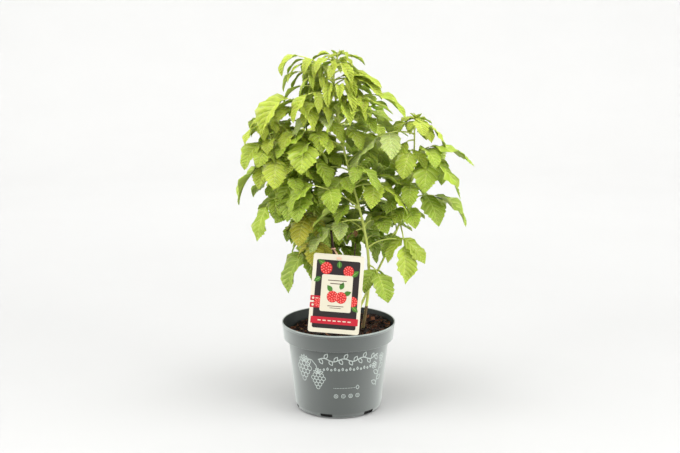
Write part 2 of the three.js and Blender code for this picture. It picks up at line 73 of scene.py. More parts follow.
# share of the cane, heading, stalk, its rise and sag, end leaflet's length, leaflets,
# droop, and 1 where a smaller leaf grows in the axil
LEAVES = {
    "main": [
        (0.27, 300, 30, 5, 40, 56, 3, -84, 0), (0.45, 200, 56, 12, 40, 56, 3, -58, 0),
        (0.42, 350, 18, 70, 40, 46, 1, 35, 0), (0.5, 205, 90, 40, 25, 60, 3, -80, 0),
        (0.58, 340, 52, 25, 40, 62, 3, -70, 0), (0.62, 215, 14, 10, 30, 58, 3, -50, 0),
        (0.79, 15, 24, 35, 50, 60, 3, -80, 0), (0.76, 195, 62, 35, 40, 64, 3, -72, 0),
        (0.84, 200, 40, 45, 50, 60, 3, -60, 1), (0.86, 335, 48, 50, 40, 56, 3, -40, 1),
        (0.88, 352, 66, 42, 40, 64, 3, -54, 0), (0.93, 218, 56, 25, 40, 56, 3, -78, 1),
        (0.99, 188, 72, 62, 55, 52, 5, -86, 0),
    ],
    "right": [
        (0.54, 280, 48, -30, 25, 64, 3, -66, 0), (0.58, 285, 30, 60, 60, 46, 3, -70, 0),
        (0.65, 355, 46, 32, 40, 82, 3, -76, 0), (0.64, 135, 44, 80, 10, 74, 3, 50, 0),
        (0.98, 195, 62, 20, 45, 76, 3, -62, 0), (0.82, 334, 43, 45, 60, 80, 3, -80, 0),
        (0.86, 352, 32, 58, 40, 86, 3, -56, 0),
    ],
    "mid": [
        (0.38, 215, 28, 15, 40, 80, 3, -82, 0), (0.47, 20, 45, 30, 40, 56, 3, -74, 1),
        (0.52, 240, 32, 25, 40, 54, 5, -62, 1), (0.62, 255, 45, 35, 40, 64, 3, -76, 1),
        (0.71, 215, 34, 15, 40, 64, 3, -64, 1), (0.85, 268, 44, 35, 40, 64, 3, -74, 1),
        (0.97, 222, 54, 80, 75, 92, 3, -88, 0),
    ],
    "left": [
        (0.65, 206, 62, 45, 100, 56, 3, -88, 0), (0.82, 184, 38, 20, 40, 70, 3, -80, 0),
        (0.88, 268, 30, 20, 60, 50, 3, -74, 1), (0.93, 205, 22, 25, 40, 50, 3, -80, 1),
        (0.95, 80, 40, 30, 40, 60, 3, -70, 1),
    ],
    "back": [
        (0.45, 75, 55, 25, 40, 64, 3, -72, 1), (0.55, 10, 60, 30, 40, 64, 3, -72, 1),
        (0.66, 120, 60, 30, 40, 64, 3, -72, 1), (0.77, 345, 55, 30, 40, 64, 3, -72, 1),
        (0.88, 60, 50, 30, 40, 60, 3, -72, 1),
    ],
    "rear": [
        (0.45, 105, 60, 25, 40, 62, 3, -72, 1), (0.56, 262, 55, 30, 40, 62, 3, -72, 1),
        (0.68, 70, 60, 25, 40, 62, 3, -72, 1), (0.79, 170, 55, 30, 40, 62, 3, -72, 1),
        (0.9, 300, 50, 30, 40, 60, 3, -72, 1),
    ],
}
AXIL = {"turn": 55, "rise": 28, "stray": 12, "stalk": 0.62, "leaflet": 0.74}

# stem, leaves, first heading, stalk, end leaflet of each cane's leafy tip
TIPS = {"main": (31, 8, 8, 32, 56), "right": (14, 5, 0, 22, 48), "mid": (12, 4, 350, 20, 42),
        "left": (14, 5, 216, 18, 42), "back": (18, 5, 80, 28, 48), "rear": (18, 5, 120, 34, 54)}
STEM = {"rise": 84, "sag": 10}
SPIRAL = {"turn": 144, "from": 0.25, "span": 0.7, "rise": 30, "sag": 45, "droop": -78,
          "steeper": 40, "stalk": 0.55, "leaflet": 0.45}
LEAFLET = {"breadth": 0.64, "end_breadth": 0.76, "side": 0.82, "low": 0.66, "spread": 70,
           "pairs": (0.7, 0.44), "follow": 0.45, "nod": 12, "least_sag": 5, "fold": 14,
           "stray": {"heading": 9, "rise": 8, "length": 0.08, "droop": 10, "fold": 8}}


def spread(seed):
    """The broken part of a steep sine of the seed, brought to -1..1: the same every time."""
    far = math.sin(seed * 12.9898 + 4.1414) * 4375.85453
    return (far - math.floor(far)) * 2 - 1


def strayed(middle, span, seed):
    """A middle moved by up to a span to either side, always the same way for a seed."""
    return middle + span * spread(seed)


def soil_height(x, y):
    """A sloping plane, plus a lump that is a sine across times a cosine in depth."""
    lump = np.sin(x / 13 + 0.4) * np.cos(y / 11 - 0.7)
    return SOIL["level"] + SOIL["slope"][0] * x + SOIL["slope"][1] * y + SOIL["lump"] * lump


def cane_point(cane, share):
    """Straight from foot to tip, plus a half sine wave of bow and a whole one of wave."""
    part = np.asarray(share, float)[..., None]
    foot = np.array([*cane["foot"], soil_height(*cane["foot"])])
    bow, wave = np.array([*cane["bow"], 0]), np.array([*cane["wave"], 0])
    return (foot + (np.array(cane["tip"]) - foot) * part
            + bow * np.sin(np.pi * part) + wave * np.sin(2 * np.pi * part))


def cane_radius(cane, share):
    """An even taper, times a flare that dies away exponentially above the foot."""
    share = np.asarray(share, float)
    even = cane["radii"][0] + (cane["radii"][1] - cane["radii"][0]) * share
    return even * (1 + 0.35 * np.exp(-25 * np.maximum(share, 0)))


def arc(root, heading, rise, length, sag, share):
    """A circular arc in the upright plane of its heading, from slope rise to rise - sag.

    Gives its points, the direction that its upper face has there, and its sideways one.
    The run outwards is length / sag times the fall of the slope's sine, and the lift is
    length / sag times the growth of its cosine.
    """
    root, share = np.asarray(root, float), np.asarray(share, float)
    heading, rise, length, sag = (np.asarray(v, float)[..., None] for v in (heading, rise, length, sag))
    slope = (rise - sag * share) * RAD
    scale = length / (sag * RAD)
    run = scale * (np.sin(rise * RAD) - np.sin(slope))
    lift = scale * (np.cos(slope) - np.cos(rise * RAD))
    ch, sh = np.cos(heading * RAD) + 0 * slope, np.sin(heading * RAD) + 0 * slope
    zero = 0 * slope
    points = root[..., None, :] + np.stack([ch * run, sh * run, lift], -1)
    face = np.stack([-ch * np.sin(slope), -sh * np.sin(slope), np.cos(slope)], -1)
    side = np.stack([sh, -ch, zero], -1)
    return points, face, side, slope / RAD


def leaf(root, heading, rise, sag, stalk, size, count, droop, seed):
    """One compound leaf: its stalk's arc, and for each leaflet its arc, breadth and fold."""
    stray = LEAFLET["stray"]
    stalk_arc = dict(root=root, heading=heading, rise=rise, length=stalk, sag=sag)
    leaflets = []

    def grow(part, turn, share, key):
        points, _, _, slopes = arc(root, heading, rise, stalk, sag, [part])
        start = slopes[0] * (LEAFLET["follow"] if turn else 1) - LEAFLET["nod"]
        start += stray["rise"] * spread(key + 0.3)
        leaflets.append(dict(
            root=points[0], heading=strayed(heading + turn, stray["heading"], key), rise=start,
            length=size * share * strayed(1, stray["length"], key + 0.6),
            breadth=LEAFLET["breadth" if turn else "end_breadth"],
            sag=max(strayed(start - droop, stray["droop"], key + 0.8), LEAFLET["least_sag"]),
            fold=strayed(LEAFLET["fold"], stray["fold"], key + 0.9), seed=key))

    for pair in range((count - 1) // 2):
        share = LEAFLET["low" if pair else "side"]
        for turn, key in ((LEAFLET["spread"], seed + 1 + pair), (-LEAFLET["spread"], seed + 3 + pair)):
            grow(LEAFLET["pairs"][pair], turn, share, key)
    grow(1, 0, 1, seed)
    return stalk_arc, leaflets


def side_leaves(name, row, index):
    """The leaf that a row of the table gives, and the smaller one in its axil."""
    share, heading, stalk, rise, sag, size, count, droop, axil = row
    root = cane_point(CANES[name], share)
    seed = index * 7 + 3 * list(CANES).index(name)
    grown = [leaf(root, heading, rise, sag, stalk, size, count, droop, seed)]
    if axil:
        turn = AXIL["turn"] * (1 if index % 2 else -1) + AXIL["stray"] * spread(seed + 0.4)
        grown.append(leaf(root, heading + turn, rise + AXIL["rise"], sag, stalk * AXIL["stalk"],
                          size * AXIL["leaflet"], 3, droop, seed + 0.5))
    return grown


# first and last share of each cane where leaves fill in, their number, stalk and end
# leaflet, and the headings that they keep between
FILL = {"main": (0.34, 0.92, 20, 44, 52, -20, 215), "right": (0.5, 0.86, 6, 30, 44, 60, 240),
        "mid": (0.4, 0.95, 15, 38, 50, -30, 260), "left": (0.5, 0.95, 12, 34, 46, 0, 360),
        "back": (0.35, 0.95, 16, 50, 56, 0, 360), "rear": (0.35, 0.95, 16, 50, 56, 0, 360)}
# how each filling leaf strays: a middle and a span, or a share of its size; probe is the
# share of a leaflet's length that has to lie within the crown
FILLING = {"golden": 137.5, "rise": (34, 22), "sag": 45, "stalk": 0.25, "leaflet": 0.15,
           "droop": (-50, 34), "probe": 0.6}

# how far from the crown's middle filling leaflets may reach, by their height
CROWN = {"middle": (8, 22), "heights": (180, 250, 320, 460, 560), "reach": (30, 58, 118, 130, 62)}

# small late leaves: the table's first eight numbers, and a tone
LATE = {
    "main": [
        (0.99, 352, 12, 34, 10, 76, 1, -40, 0), (0.96, 192, 66, 50, 50, 44, 5, -86, 1),
        (0.93, 186, 58, 40, 45, 46, 5, -84, 1), (0.98, 212, 44, 40, 50, 44, 5, -86, 0),
        (0.99, 176, 62, 70, 70, 40, 5, -84, 1), (0.97, 345, 34, 45, 40, 62, 3, -60, 0),
        (0.95, 300, 22, 40, 40, 60, 3, -80, 0), (0.97, 250, 20, 30, 40, 50, 3, -85, 0),
        (0.99, 196, 60, 64, 70, 42, 5, -88, 0), (0.98, 180, 50, 56, 64, 46, 5, -86, 0),
        (0.97, 170, 30, 40, 50, 50, 3, -80, 1), (0.99, 356, 30, 24, 36, 62, 3, -48, 0),
        (0.92, 320, 30, 30, 40, 54, 3, -76, 0), (0.9, 290, 26, 30, 40, 50, 3, -78, 1),
        (0.88, 222, 44, 36, 40, 52, 3, -80, 0), (0.82, 8, 60, 30, 40, 56, 3, -60, 2),
        (0.66, 318, 34, 20, 40, 50, 3, -70, 3), (0.42, 190, 20, -10, 20, 17, 3, -70, 7),
    ],
    "mid": [
        (0.99, 195, 16, 40, 20, 52, 1, -86, 0), (0.9, 290, 30, 30, 40, 50, 3, -76, 1),
        (0.78, 300, 34, 25, 40, 54, 3, -74, 2), (0.95, 330, 40, 30, 40, 50, 3, -74, 1),
        (0.42, 262, 30, 20, 40, 50, 3, -70, 5),
    ],
    "right": [
        (0.95, 215, 16, 10, 30, 44, 1, -84, 1), (0.9, 250, 26, 20, 40, 48, 3, -78, 1),
        (0.74, 262, 24, 20, 40, 46, 3, -74, 2), (0.5, 236, 16, -10, 30, 38, 1, -60, 3),
        (0.43, 236, 10, 20, 20, 16, 3, -70, 7),
    ],
    "left": [(0.9, 236, 24, 30, 40, 44, 3, -78, 1), (0.7, 268, 26, 20, 40, 50, 3, -76, 3)],
}


def filling_leaves(name, index):
    """Smaller leaves at even steps up a cane, each a golden angle further round it.

    The turns are then squeezed evenly between the first and last of the cane's headings.
    """
    first, last, count, stalk, size, start, end = FILL[name]
    grown = []
    for k in range(count):
        share = first + (last - first) * k / (count - 1)
        seed = 200 + 40 * index + k
        heading = start + (end - start) * ((60 * index + FILLING["golden"] * k) % 360) / 360
        rise, droop = strayed(*FILLING["rise"], seed + 0.5), strayed(*FILLING["droop"], seed + 0.7)
        path, leaflets = leaf(cane_point(CANES[name], share), heading, rise, FILLING["sag"],
                              stalk * strayed(1, FILLING["stalk"], seed + 0.1),
                              size * strayed(1, FILLING["leaflet"], seed + 0.2), 3, droop, seed)
        kept = []
        for one in leaflets:
            x, y, z = arc(one["root"], one["heading"], one["rise"], one["length"], one["sag"],
                          [FILLING["probe"]])[0][0]
            away = math.hypot(x - CROWN["middle"][0], y - CROWN["middle"][1])
            if away < np.interp(z, CROWN["heights"], CROWN["reach"]):
                kept.append(one)
        if kept:
            grown.append((path, kept))
    return grown


def leafy_tip(name, index):
    """Leaves in a rising spiral round a short stem, each shorter and steeper than the last."""
    stem, count, heading, stalk, size = TIPS[name]
    foot = cane_point(CANES[name], 1) + (0, 0, GAP)
    stem_arc = dict(root=foot, heading=heading, length=stem, **STEM)
    grown = []
    for i in range(count):
        climb = i / (count - 1)
        root = arc(**stem_arc, share=[SPIRAL["from"] + SPIRAL["span"] * climb])[0][0]
        grown.append(leaf(root, heading + i * SPIRAL["turn"], SPIRAL["rise"] + SPIRAL["steeper"] * climb,
                          SPIRAL["sag"], stalk * (1 - SPIRAL["stalk"] * climb),
                          size * (1 - SPIRAL["leaflet"] * climb), 3,
                          SPIRAL["droop"] + SPIRAL["steeper"] * climb, index * 31 + i * 5))
    return stem_arc, grown


# ---------- surfaces ----------

class Heap:
    """Points and faces gathered from many small surfaces, to be joined into one piece.

    A face has four corners, or three and a -1.
    """

    def __init__(self):
        self.points, self.faces, self.slots, self.count = [], [], [], 0
        self.places = []  # of a leaflet's points: veins from its root, and share across it

    def add(self, points, faces, slot=0, places=None):
        points, faces = np.asarray(points, float).reshape(-1, 3), np.asarray(faces).reshape(-1, 4)
        self.points.append(points)
        if places is not None:
            self.places.append(places.reshape(-1, 2))
        self.faces.append(np.where(faces < 0, -1, faces + self.count))
        self.slots.append(np.broadcast_to(slot, len(faces)))
        self.count += len(points)

    def sheet(self, grid, slot=0, flipped=False, **rounds):
        """Adds a grid of points joined by quads, the other way about if flipped."""
        faces = grid_faces(*grid.shape[:2], **rounds)
        self.add(grid, faces[:, ::-1] if flipped else faces, slot)


def placed(name, data):
    """A new object that holds the data, linked to the scene."""
    made = bpy.data.objects.new(name, data)
    bpy.context.scene.collection.objects.link(made)
    return made


def piece(name, heap, finishes, nodes, crease=None):
    """Joins a heap into one smooth mesh object that rides on the plant's body."""
    points, faces = np.concatenate(heap.points) * MM, np.concatenate(heap.faces)
    real = faces >= 0
    totals = real.sum(1)
    mesh = bpy.data.meshes.new(name)
    mesh.vertices.add(len(points))
    mesh.vertices.foreach_set("co", points.astype(np.float32).ravel())
    mesh.loops.add(int(totals.sum()))
    mesh.loops.foreach_set("vertex_index", faces[real].astype(np.int32))
    mesh.polygons.add(len(faces))
    mesh.polygons.foreach_set("loop_start", (np.cumsum(totals) - totals).astype(np.int32))
    mesh.polygons.foreach_set("material_index", np.concatenate(heap.slots).astype(np.int32))
    for finish in finishes:
        mesh.materials.append(finish)
    if heap.places:
        layer = mesh.attributes.new("blade", "FLOAT2", "POINT")
        layer.data.foreach_set("vector", np.concatenate(heap.places).astype(np.float32).ravel())
    mesh.update(calc_edges=True)
    mesh.shade_smooth()
    if crease:
        mesh.set_sharp_from_angle(angle=crease * RAD)
    made = placed(name, mesh)
    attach(made, "root")
    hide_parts(*nodes)


def grid_faces(rows, columns, round_rows=False, round_columns=False):
    """The quads of a grid numbered row by row; a round grid joins its last line to its first."""
    i = np.arange(rows if round_rows else rows - 1)[:, None]
    j = np.arange(columns if round_columns else columns - 1)[None, :]
    i2, j2 = (i + 1) % rows, (j + 1) % columns
    corners = [i * columns + j, i * columns + j2, i2 * columns + j2, i2 * columns + j]
    return np.stack(corners, -1).reshape(-1, 4)


def fan_faces(ring, middle, flipped=False):
    """Triangles from a closed ring of numbered points to one point in its middle."""
    after = np.roll(ring, -1)
    first, second = (after, ring) if flipped else (ring, after)
    return np.stack([first, second, 0 * ring + middle, 0 * ring - 1], -1)


def add_cap(heap, ring, flipped=False):
    """A closed ring of points filled in by triangles to its middle."""
    count = len(ring)
    heap.add(np.concatenate([ring, [ring.mean(0)]]), fan_faces(np.arange(count), count, flipped))


def add_tube(heap, rings, slot=0):
    """Rings of points joined by quads, each end closed by a fan of triangles to its middle.

    The rings' points turn so that the surface looks outwards where they run
    anticlockwise as seen from the tube's far end.
    """
    count, sides, _ = rings.shape
    total, first_ring = count * sides, np.arange(sides)
    last_ring = total - sides + first_ring
    faces = [grid_faces(count, sides, round_columns=True),
             fan_faces(first_ring, total, flipped=True), fan_faces(last_ring, total + 1)]
    points = np.concatenate([rings.reshape(-1, 3), rings[[0, -1]].mean(1)])
    heap.add(points, np.concatenate(faces), slot)


def even_turns(sides):
    """The angles of a ring of points, even steps once round."""
    return np.arange(sides) / sides * 2 * np.pi


def circle(sides):
    return np.cos(even_turns(sides)), np.sin(even_turns(sides))


def compass(heading):
    return math.cos(heading * RAD), math.sin(heading * RAD)


def around(radius, turn, height):
    """Points at radii and turns about the upright axis, and at heights."""
    return np.stack(np.broadcast_arrays(radius * np.cos(turn), radius * np.sin(turn), height), -1)


# ---------- finishes ----------

def linear(red, green, blue):
    """A display colour of 0..255 a channel as linear light: the sRGB curve undone."""
    values = np.array([red, green, blue]) / 255
    low, high = values / 12.92, ((values + 0.055) / 1.055) ** 2.4
    return (*np.where(values <= 0.04045, low, high), 1.0)


class Graph:
    """A shader group in the making, with short ways to add its nodes and join them."""

    def __init__(self, name, inputs, outputs):
        self.group = bpy.data.node_groups.new(name, "ShaderNodeTree")
        for way, sockets in (("INPUT", inputs), ("OUTPUT", outputs)):
            for label, kind in sockets:
                self.group.interface.new_socket(name=label, in_out=way, socket_type="NodeSocket" + kind)
        self.given = self.node("NodeGroupInput").outputs
        self.out = self.node("NodeGroupOutput").inputs
        self.place = self.node("ShaderNodeTexCoord").outputs["Object"]

    def node(self, kind):
        return self.group.nodes.new(kind)

    def feed(self, socket, value):
        """Links another node's output to a socket, or sets the socket to a plain value."""
        if isinstance(value, bpy.types.NodeSocket):
            self.group.links.new(value, socket)
        else:
            socket.default_value = value

    def math(self, operation, *values):
        made = self.node("ShaderNodeMath")
        made.operation = operation
        for socket, value in zip(made.inputs, values):
            self.feed(socket, value)
        return made.outputs[0]

    def noise(self, scale, detail=4.0):
        made = self.node("ShaderNodeTexNoise")
        for socket, value in (("Vector", self.place), ("Scale", scale), ("Detail", detail)):
            self.feed(made.inputs[socket], value)
        return made.outputs["Fac"]

    def mix(self, share, first, second):
        """A colour between two; the node's sockets 6 and 7 are its colours."""
        made = self.node("ShaderNodeMix")
        made.data_type = "RGBA"
        for socket, value in (("Factor", share), (6, first), (7, second)):
            self.feed(made.inputs[socket], value)
        return made.outputs[2]


def build_mottle():
    """Two colours mixed by soft noise, with a grain for bumps and a roughness that follows it."""
    graph = Graph("mottle",
                  [("Colour", "Color"), ("Shade", "Color"), ("Scale", "Float"), ("Share", "Float"),
                   ("Grain scale", "Float"), ("Roughness", "Float"), ("Uneven", "Float")],
                  [("Colour", "Color"), ("Roughness", "Float"), ("Grain", "Float")])
    given, out = graph.given, graph.out
    broad, grain = graph.noise(given["Scale"]), graph.noise(given["Grain scale"], 6.0)
    clearer = graph.node("ShaderNodeMapRange")
    for socket, value in (("Value", broad), ("From Min", 0.35), ("From Max", 0.65)):
        graph.feed(clearer.inputs[socket], value)
    share = graph.math("MULTIPLY", clearer.outputs["Result"], given["Share"])
    swing = graph.math("MULTIPLY", graph.math("SUBTRACT", grain, 0.5), given["Uneven"])
    graph.feed(out["Colour"], graph.mix(share, given["Colour"], given["Shade"]))
    graph.feed(out["Roughness"], graph.math("ADD", given["Roughness"], swing))
    graph.feed(out["Grain"], grain)
    return graph.group


MOTTLE = build_mottle()


def grouped_material(name, group, values, height, bump, depth_mm, fixed):
    """A material whose colour, roughness and bumps come from one shader group.

    values are set on the group's sockets and fixed ones on the shader's; height is the
    group's output that the bumps follow.
    """
    made = bpy.data.materials.new(name)
    made.use_nodes = True
    nodes, links = made.node_tree.nodes, made.node_tree.links
    shader, source, relief = (nodes["Principled BSDF"], nodes.new("ShaderNodeGroup"),
                              nodes.new("ShaderNodeBump"))
    source.node_tree = group
    for node, settings in ((source, values), (shader, fixed),
                           (relief, {"Strength": bump, "Distance": depth_mm * MM})):
        for socket, value in settings.items():
            node.inputs[socket].default_value = value
    links.new(source.outputs["Colour"], shader.inputs["Base Color"])
    links.new(source.outputs["Roughness"], shader.inputs["Roughness"])
    links.new(source.outputs[height], relief.inputs["Height"])
    links.new(relief.outputs["Normal"], shader.inputs["Normal"])
    return made


def finish(name, colour, shade, scale, share, grain, rough, uneven=0.2, bump=0.2, depth=0.3, fixed=None):
    """A finish whose colour wanders towards its shade, with a fine grain raised by bump."""
    values = {"Colour": linear(*colour), "Shade": linear(*shade), "Scale": scale, "Share": share,
              "Grain scale": grain, "Roughness": rough, "Uneven": uneven}
    return grouped_material(name, MOTTLE, values, "Grain", bump, depth, fixed or {})


def build_veined():
    """A leaf's blade: mottled green, pale veins, and the blade puffed up between them.

    The attribute counts the side veins from the root, so its broken part tells how near a
    point is to one: a high power of that is the vein's line, which fades towards the
    edge, and a low power, taken from one, is the puff. The midrib lies where the share
    across is nought.
    """
    graph = Graph("veined", [("Colour", "Color"), ("Shade", "Color"), ("Vein", "Color")],
                  [("Colour", "Color"), ("Roughness", "Float"), ("Height", "Float")])
    given, out, math_of = graph.given, graph.out, graph.math
    blade, apart = graph.node("ShaderNodeAttribute"), graph.node("ShaderNodeSeparateXYZ")
    blade.attribute_name = "blade"
    graph.feed(apart.inputs[0], blade.outputs["Vector"])
    broad, crinkle = graph.noise(90), graph.noise(520)
    across = math_of("ABSOLUTE", apart.outputs["Y"])
    from_middle = math_of("ABSOLUTE", math_of("SUBTRACT", math_of("FRACT", apart.outputs["X"]), 0.5))
    near = math_of("MULTIPLY", from_middle, 2)
    fading = math_of("SUBTRACT", 0.9, math_of("MULTIPLY", across, 0.5))
    line = math_of("MULTIPLY", math_of("POWER", near, 5), fading)
    rib = math_of("POWER", math_of("SUBTRACT", 1, math_of("MINIMUM", across, 1)), 14)
    share = math_of("MULTIPLY", math_of("SUBTRACT", broad, 0.3), 1.6)
    mottled = graph.mix(share, given["Colour"], given["Shade"])
    puff = math_of("SUBTRACT", math_of("SUBTRACT", 1, math_of("POWER", near, 2.2)), rib)
    graph.feed(out["Colour"], graph.mix(math_of("MAXIMUM", line, rib), mottled, given["Vein"]))
    graph.feed(out["Height"], math_of("ADD", puff, math_of("MULTIPLY", crinkle, 0.7)))
    graph.feed(out["Roughness"], math_of("ADD", 0.42, math_of("MULTIPLY", crinkle, 0.3)))
    return graph.group


VEINED = build_veined()


def leaf_finish(name, colour, vein, relief_mm):
    """A soft leaf: its greens and relief from the veined group, with light let through."""
    values = {"Colour": linear(*colour), "Shade": linear(*(v * 0.8 for v in colour)), "Vein": linear(*vein)}
    soft = {"Specular IOR Level": 0.42, "Subsurface Weight": 0.45,
            "Subsurface Radius": (0.7, 1.0, 0.25), "Subsurface Scale": 0.0008}
    return grouped_material(name, VEINED, values, "Height", 0.8, relief_mm, soft)


# ---------- camera, floor and light ----------

# the camera's place in metres, the degrees it looks down, and its lens and sensor in mm;
# the radius of the floor's flat part, its bend and the wall's top in metres
CAMERA = {"place": (0.0025, -1.6, 0.601), "down": 10.36, "lens": 51.96, "sensor": 36}
FLOOR = {"flat": 3.0, "bend": 3.0, "top": 5.5, "sides": 96}

# each light's place, what it faces, its breadth and height in metres, and its watts
LIGHTS = {
    "left_box": ((-3.2, -0.95, 1.2), (0, 0, 0.2), (3.8, 2.5), 100),
    "right_box": ((3.2, -0.95, 1.2), (0, 0, 0.2), (3.8, 2.5), 122),
    "top_box": ((0, -0.5, 2.9), (0, 0, 0.3), (2.4, 1.6), 56),
    "wall_box": ((0, 1.9, 3.2), (0, 6, 1.3), (6.0, 2.0), 154),
}
DAYLIGHT = 1.08


def build_camera():
    """A camera in front of the plant, a little above its top and looking down."""
    data = bpy.data.cameras.new("camera")
    data.sensor_width = CAMERA["sensor"]
    data.lens = CAMERA["lens"]
    camera = placed("camera", data)
    camera.location = CAMERA["place"]
    camera.rotation_euler = ((90 - CAMERA["down"]) * RAD, 0, 0)
    bpy.context.scene.camera = camera


def build_floor():
    """A pale floor that is flat out to 3 m and then sweeps up to a wall all round.

    The profile's height past the flat is a quarter circle's, radius minus the root of
    its square less the square of the way past.
    """
    flat, bend, sides = FLOOR["flat"], FLOOR["bend"], FLOOR["sides"]
    past = np.sin(np.linspace(0, np.pi / 2, 16))[1:]
    radii = np.concatenate([[0.02], np.linspace(0.5, flat, 8), flat + bend * past, [flat + bend]])
    heights = np.concatenate([np.zeros(9), bend - bend * np.sqrt(1 - past ** 2), [FLOOR["top"]]])
    points = around(radii[:, None], even_turns(sides), heights[:, None])
    faces = grid_faces(len(radii), sides, round_columns=True)[:, ::-1].tolist()
    mesh = bpy.data.meshes.new("floor")
    mesh.from_pydata(points.reshape(-1, 3).tolist(), [], faces + [list(range(sides))])
    mesh.shade_smooth()
    white = finish("floor_white", (191, 191, 190), (189, 189, 188), 3, 0.5, 40, 0.75, 0.05, 0.02)
    mesh.materials.append(white)
    floor = placed("floor", mesh)


def build_lights():
    """Four soft boxes, the last one for the wall, and even white light from all round."""
    for name, (place, aim, size, power) in LIGHTS.items():
        data = bpy.data.lights.new(name, "AREA")
        data.shape = "RECTANGLE"
        data.size, data.size_y = size
        data.energy = power
        light = placed(name, data)
        way = np.array(aim) - np.array(place)
        light.location = place
        light.rotation_euler = (math.acos(-way[2] / np.linalg.norm(way)), 0,
                                math.atan2(way[1], way[0]) - math.pi / 2)
    world = bpy.data.worlds.new("studio")
    world.use_nodes = True
    sky = world.node_tree.nodes["Background"].inputs
    sky["Color"].default_value = (1, 1, 1, 1)
    sky["Strength"].default_value = DAYLIGHT
    bpy.context.scene.world = world
    bpy.context.scene.view_settings.view_transform = "Standard"


# ---------- the pot ----------

POT_SIDES = 180
POT_STEP = 360 / POT_SIDES
POT_TURN = np.arange(POT_SIDES) * POT_STEP * RAD


def eased(corners):
    """A profile whose corners are eased: each [radius, height, ease] becomes the points of
    a parabola between the places an ease before it and an ease after it."""
    corners = np.array(corners, float)
    spots, ease = corners[:, :2], corners[:, 2]
    out = [spots[0]]
    for i in range(1, len(spots) - 1):
        before = spots[i - 1] - spots[i]
        after = spots[i + 1] - spots[i]
        start = spots[i] + before / np.linalg.norm(before) * ease[i]
        end = spots[i] + after / np.linalg.norm(after) * ease[i]
        for t in (np.linspace(0, 1, 4) if ease[i] else [0]):
            out.append((1 - t) ** 2 * start + 2 * t * (1 - t) * spots[i] + t * t * end)
    out.append(spots[-1])
    return np.array(out)


def pot_profile():
    """The wall's outline as [radius, height], up its outside and down its inside.

    The outside has a rounded heel, a broad band under the lip and a raised edge on top.
    """
    wall, lip, neck, heel, turn = POT["wall"], POT["lip"], POT["neck"], POT["heel"], POT["round"]
    slope = (POT["rim"] - lip[0]) / (POT["height"] - lip[1])
    return eased([
        (0.5, 0, 0), (POT["sole"], 0, 1.2), (turn[0] - 0.15, DRAIN["from"], 0), (turn[0] + 0.45, 4.6, 0),
        (turn[0] + 1.2, 6.4, 0), (heel[0] - 0.2, DRAIN["to"], 0), (heel[0], heel[1] + 1, 0.8),
        (neck[0], neck[1], 0.6), (lip[0] + 0.05, lip[1] - 0.2, 0.8),
        (lip[0] + slope * 22, lip[1] + 22, 0), (lip[0] + slope * 22 - 0.25, lip[1] + 22.4, 0),
        (lip[0] + slope * 23, lip[1] + 22.9, 0), (POT["rim"] + 0.05, POT["height"] - POT["edge"], 0),
        (POT["rim"] + 0.1, POT["height"], 0.7), (POT["rim"] - wall, POT["height"], 0.7),
        (lip[0] - wall, lip[1] + wall, 1.2), (neck[0] - wall, neck[1] + wall, 1.2),
        (heel[0] - wall, heel[1], 1.5), (POT["sole"] - wall, 2.2, 1), (0.5, 2.2, 0)])


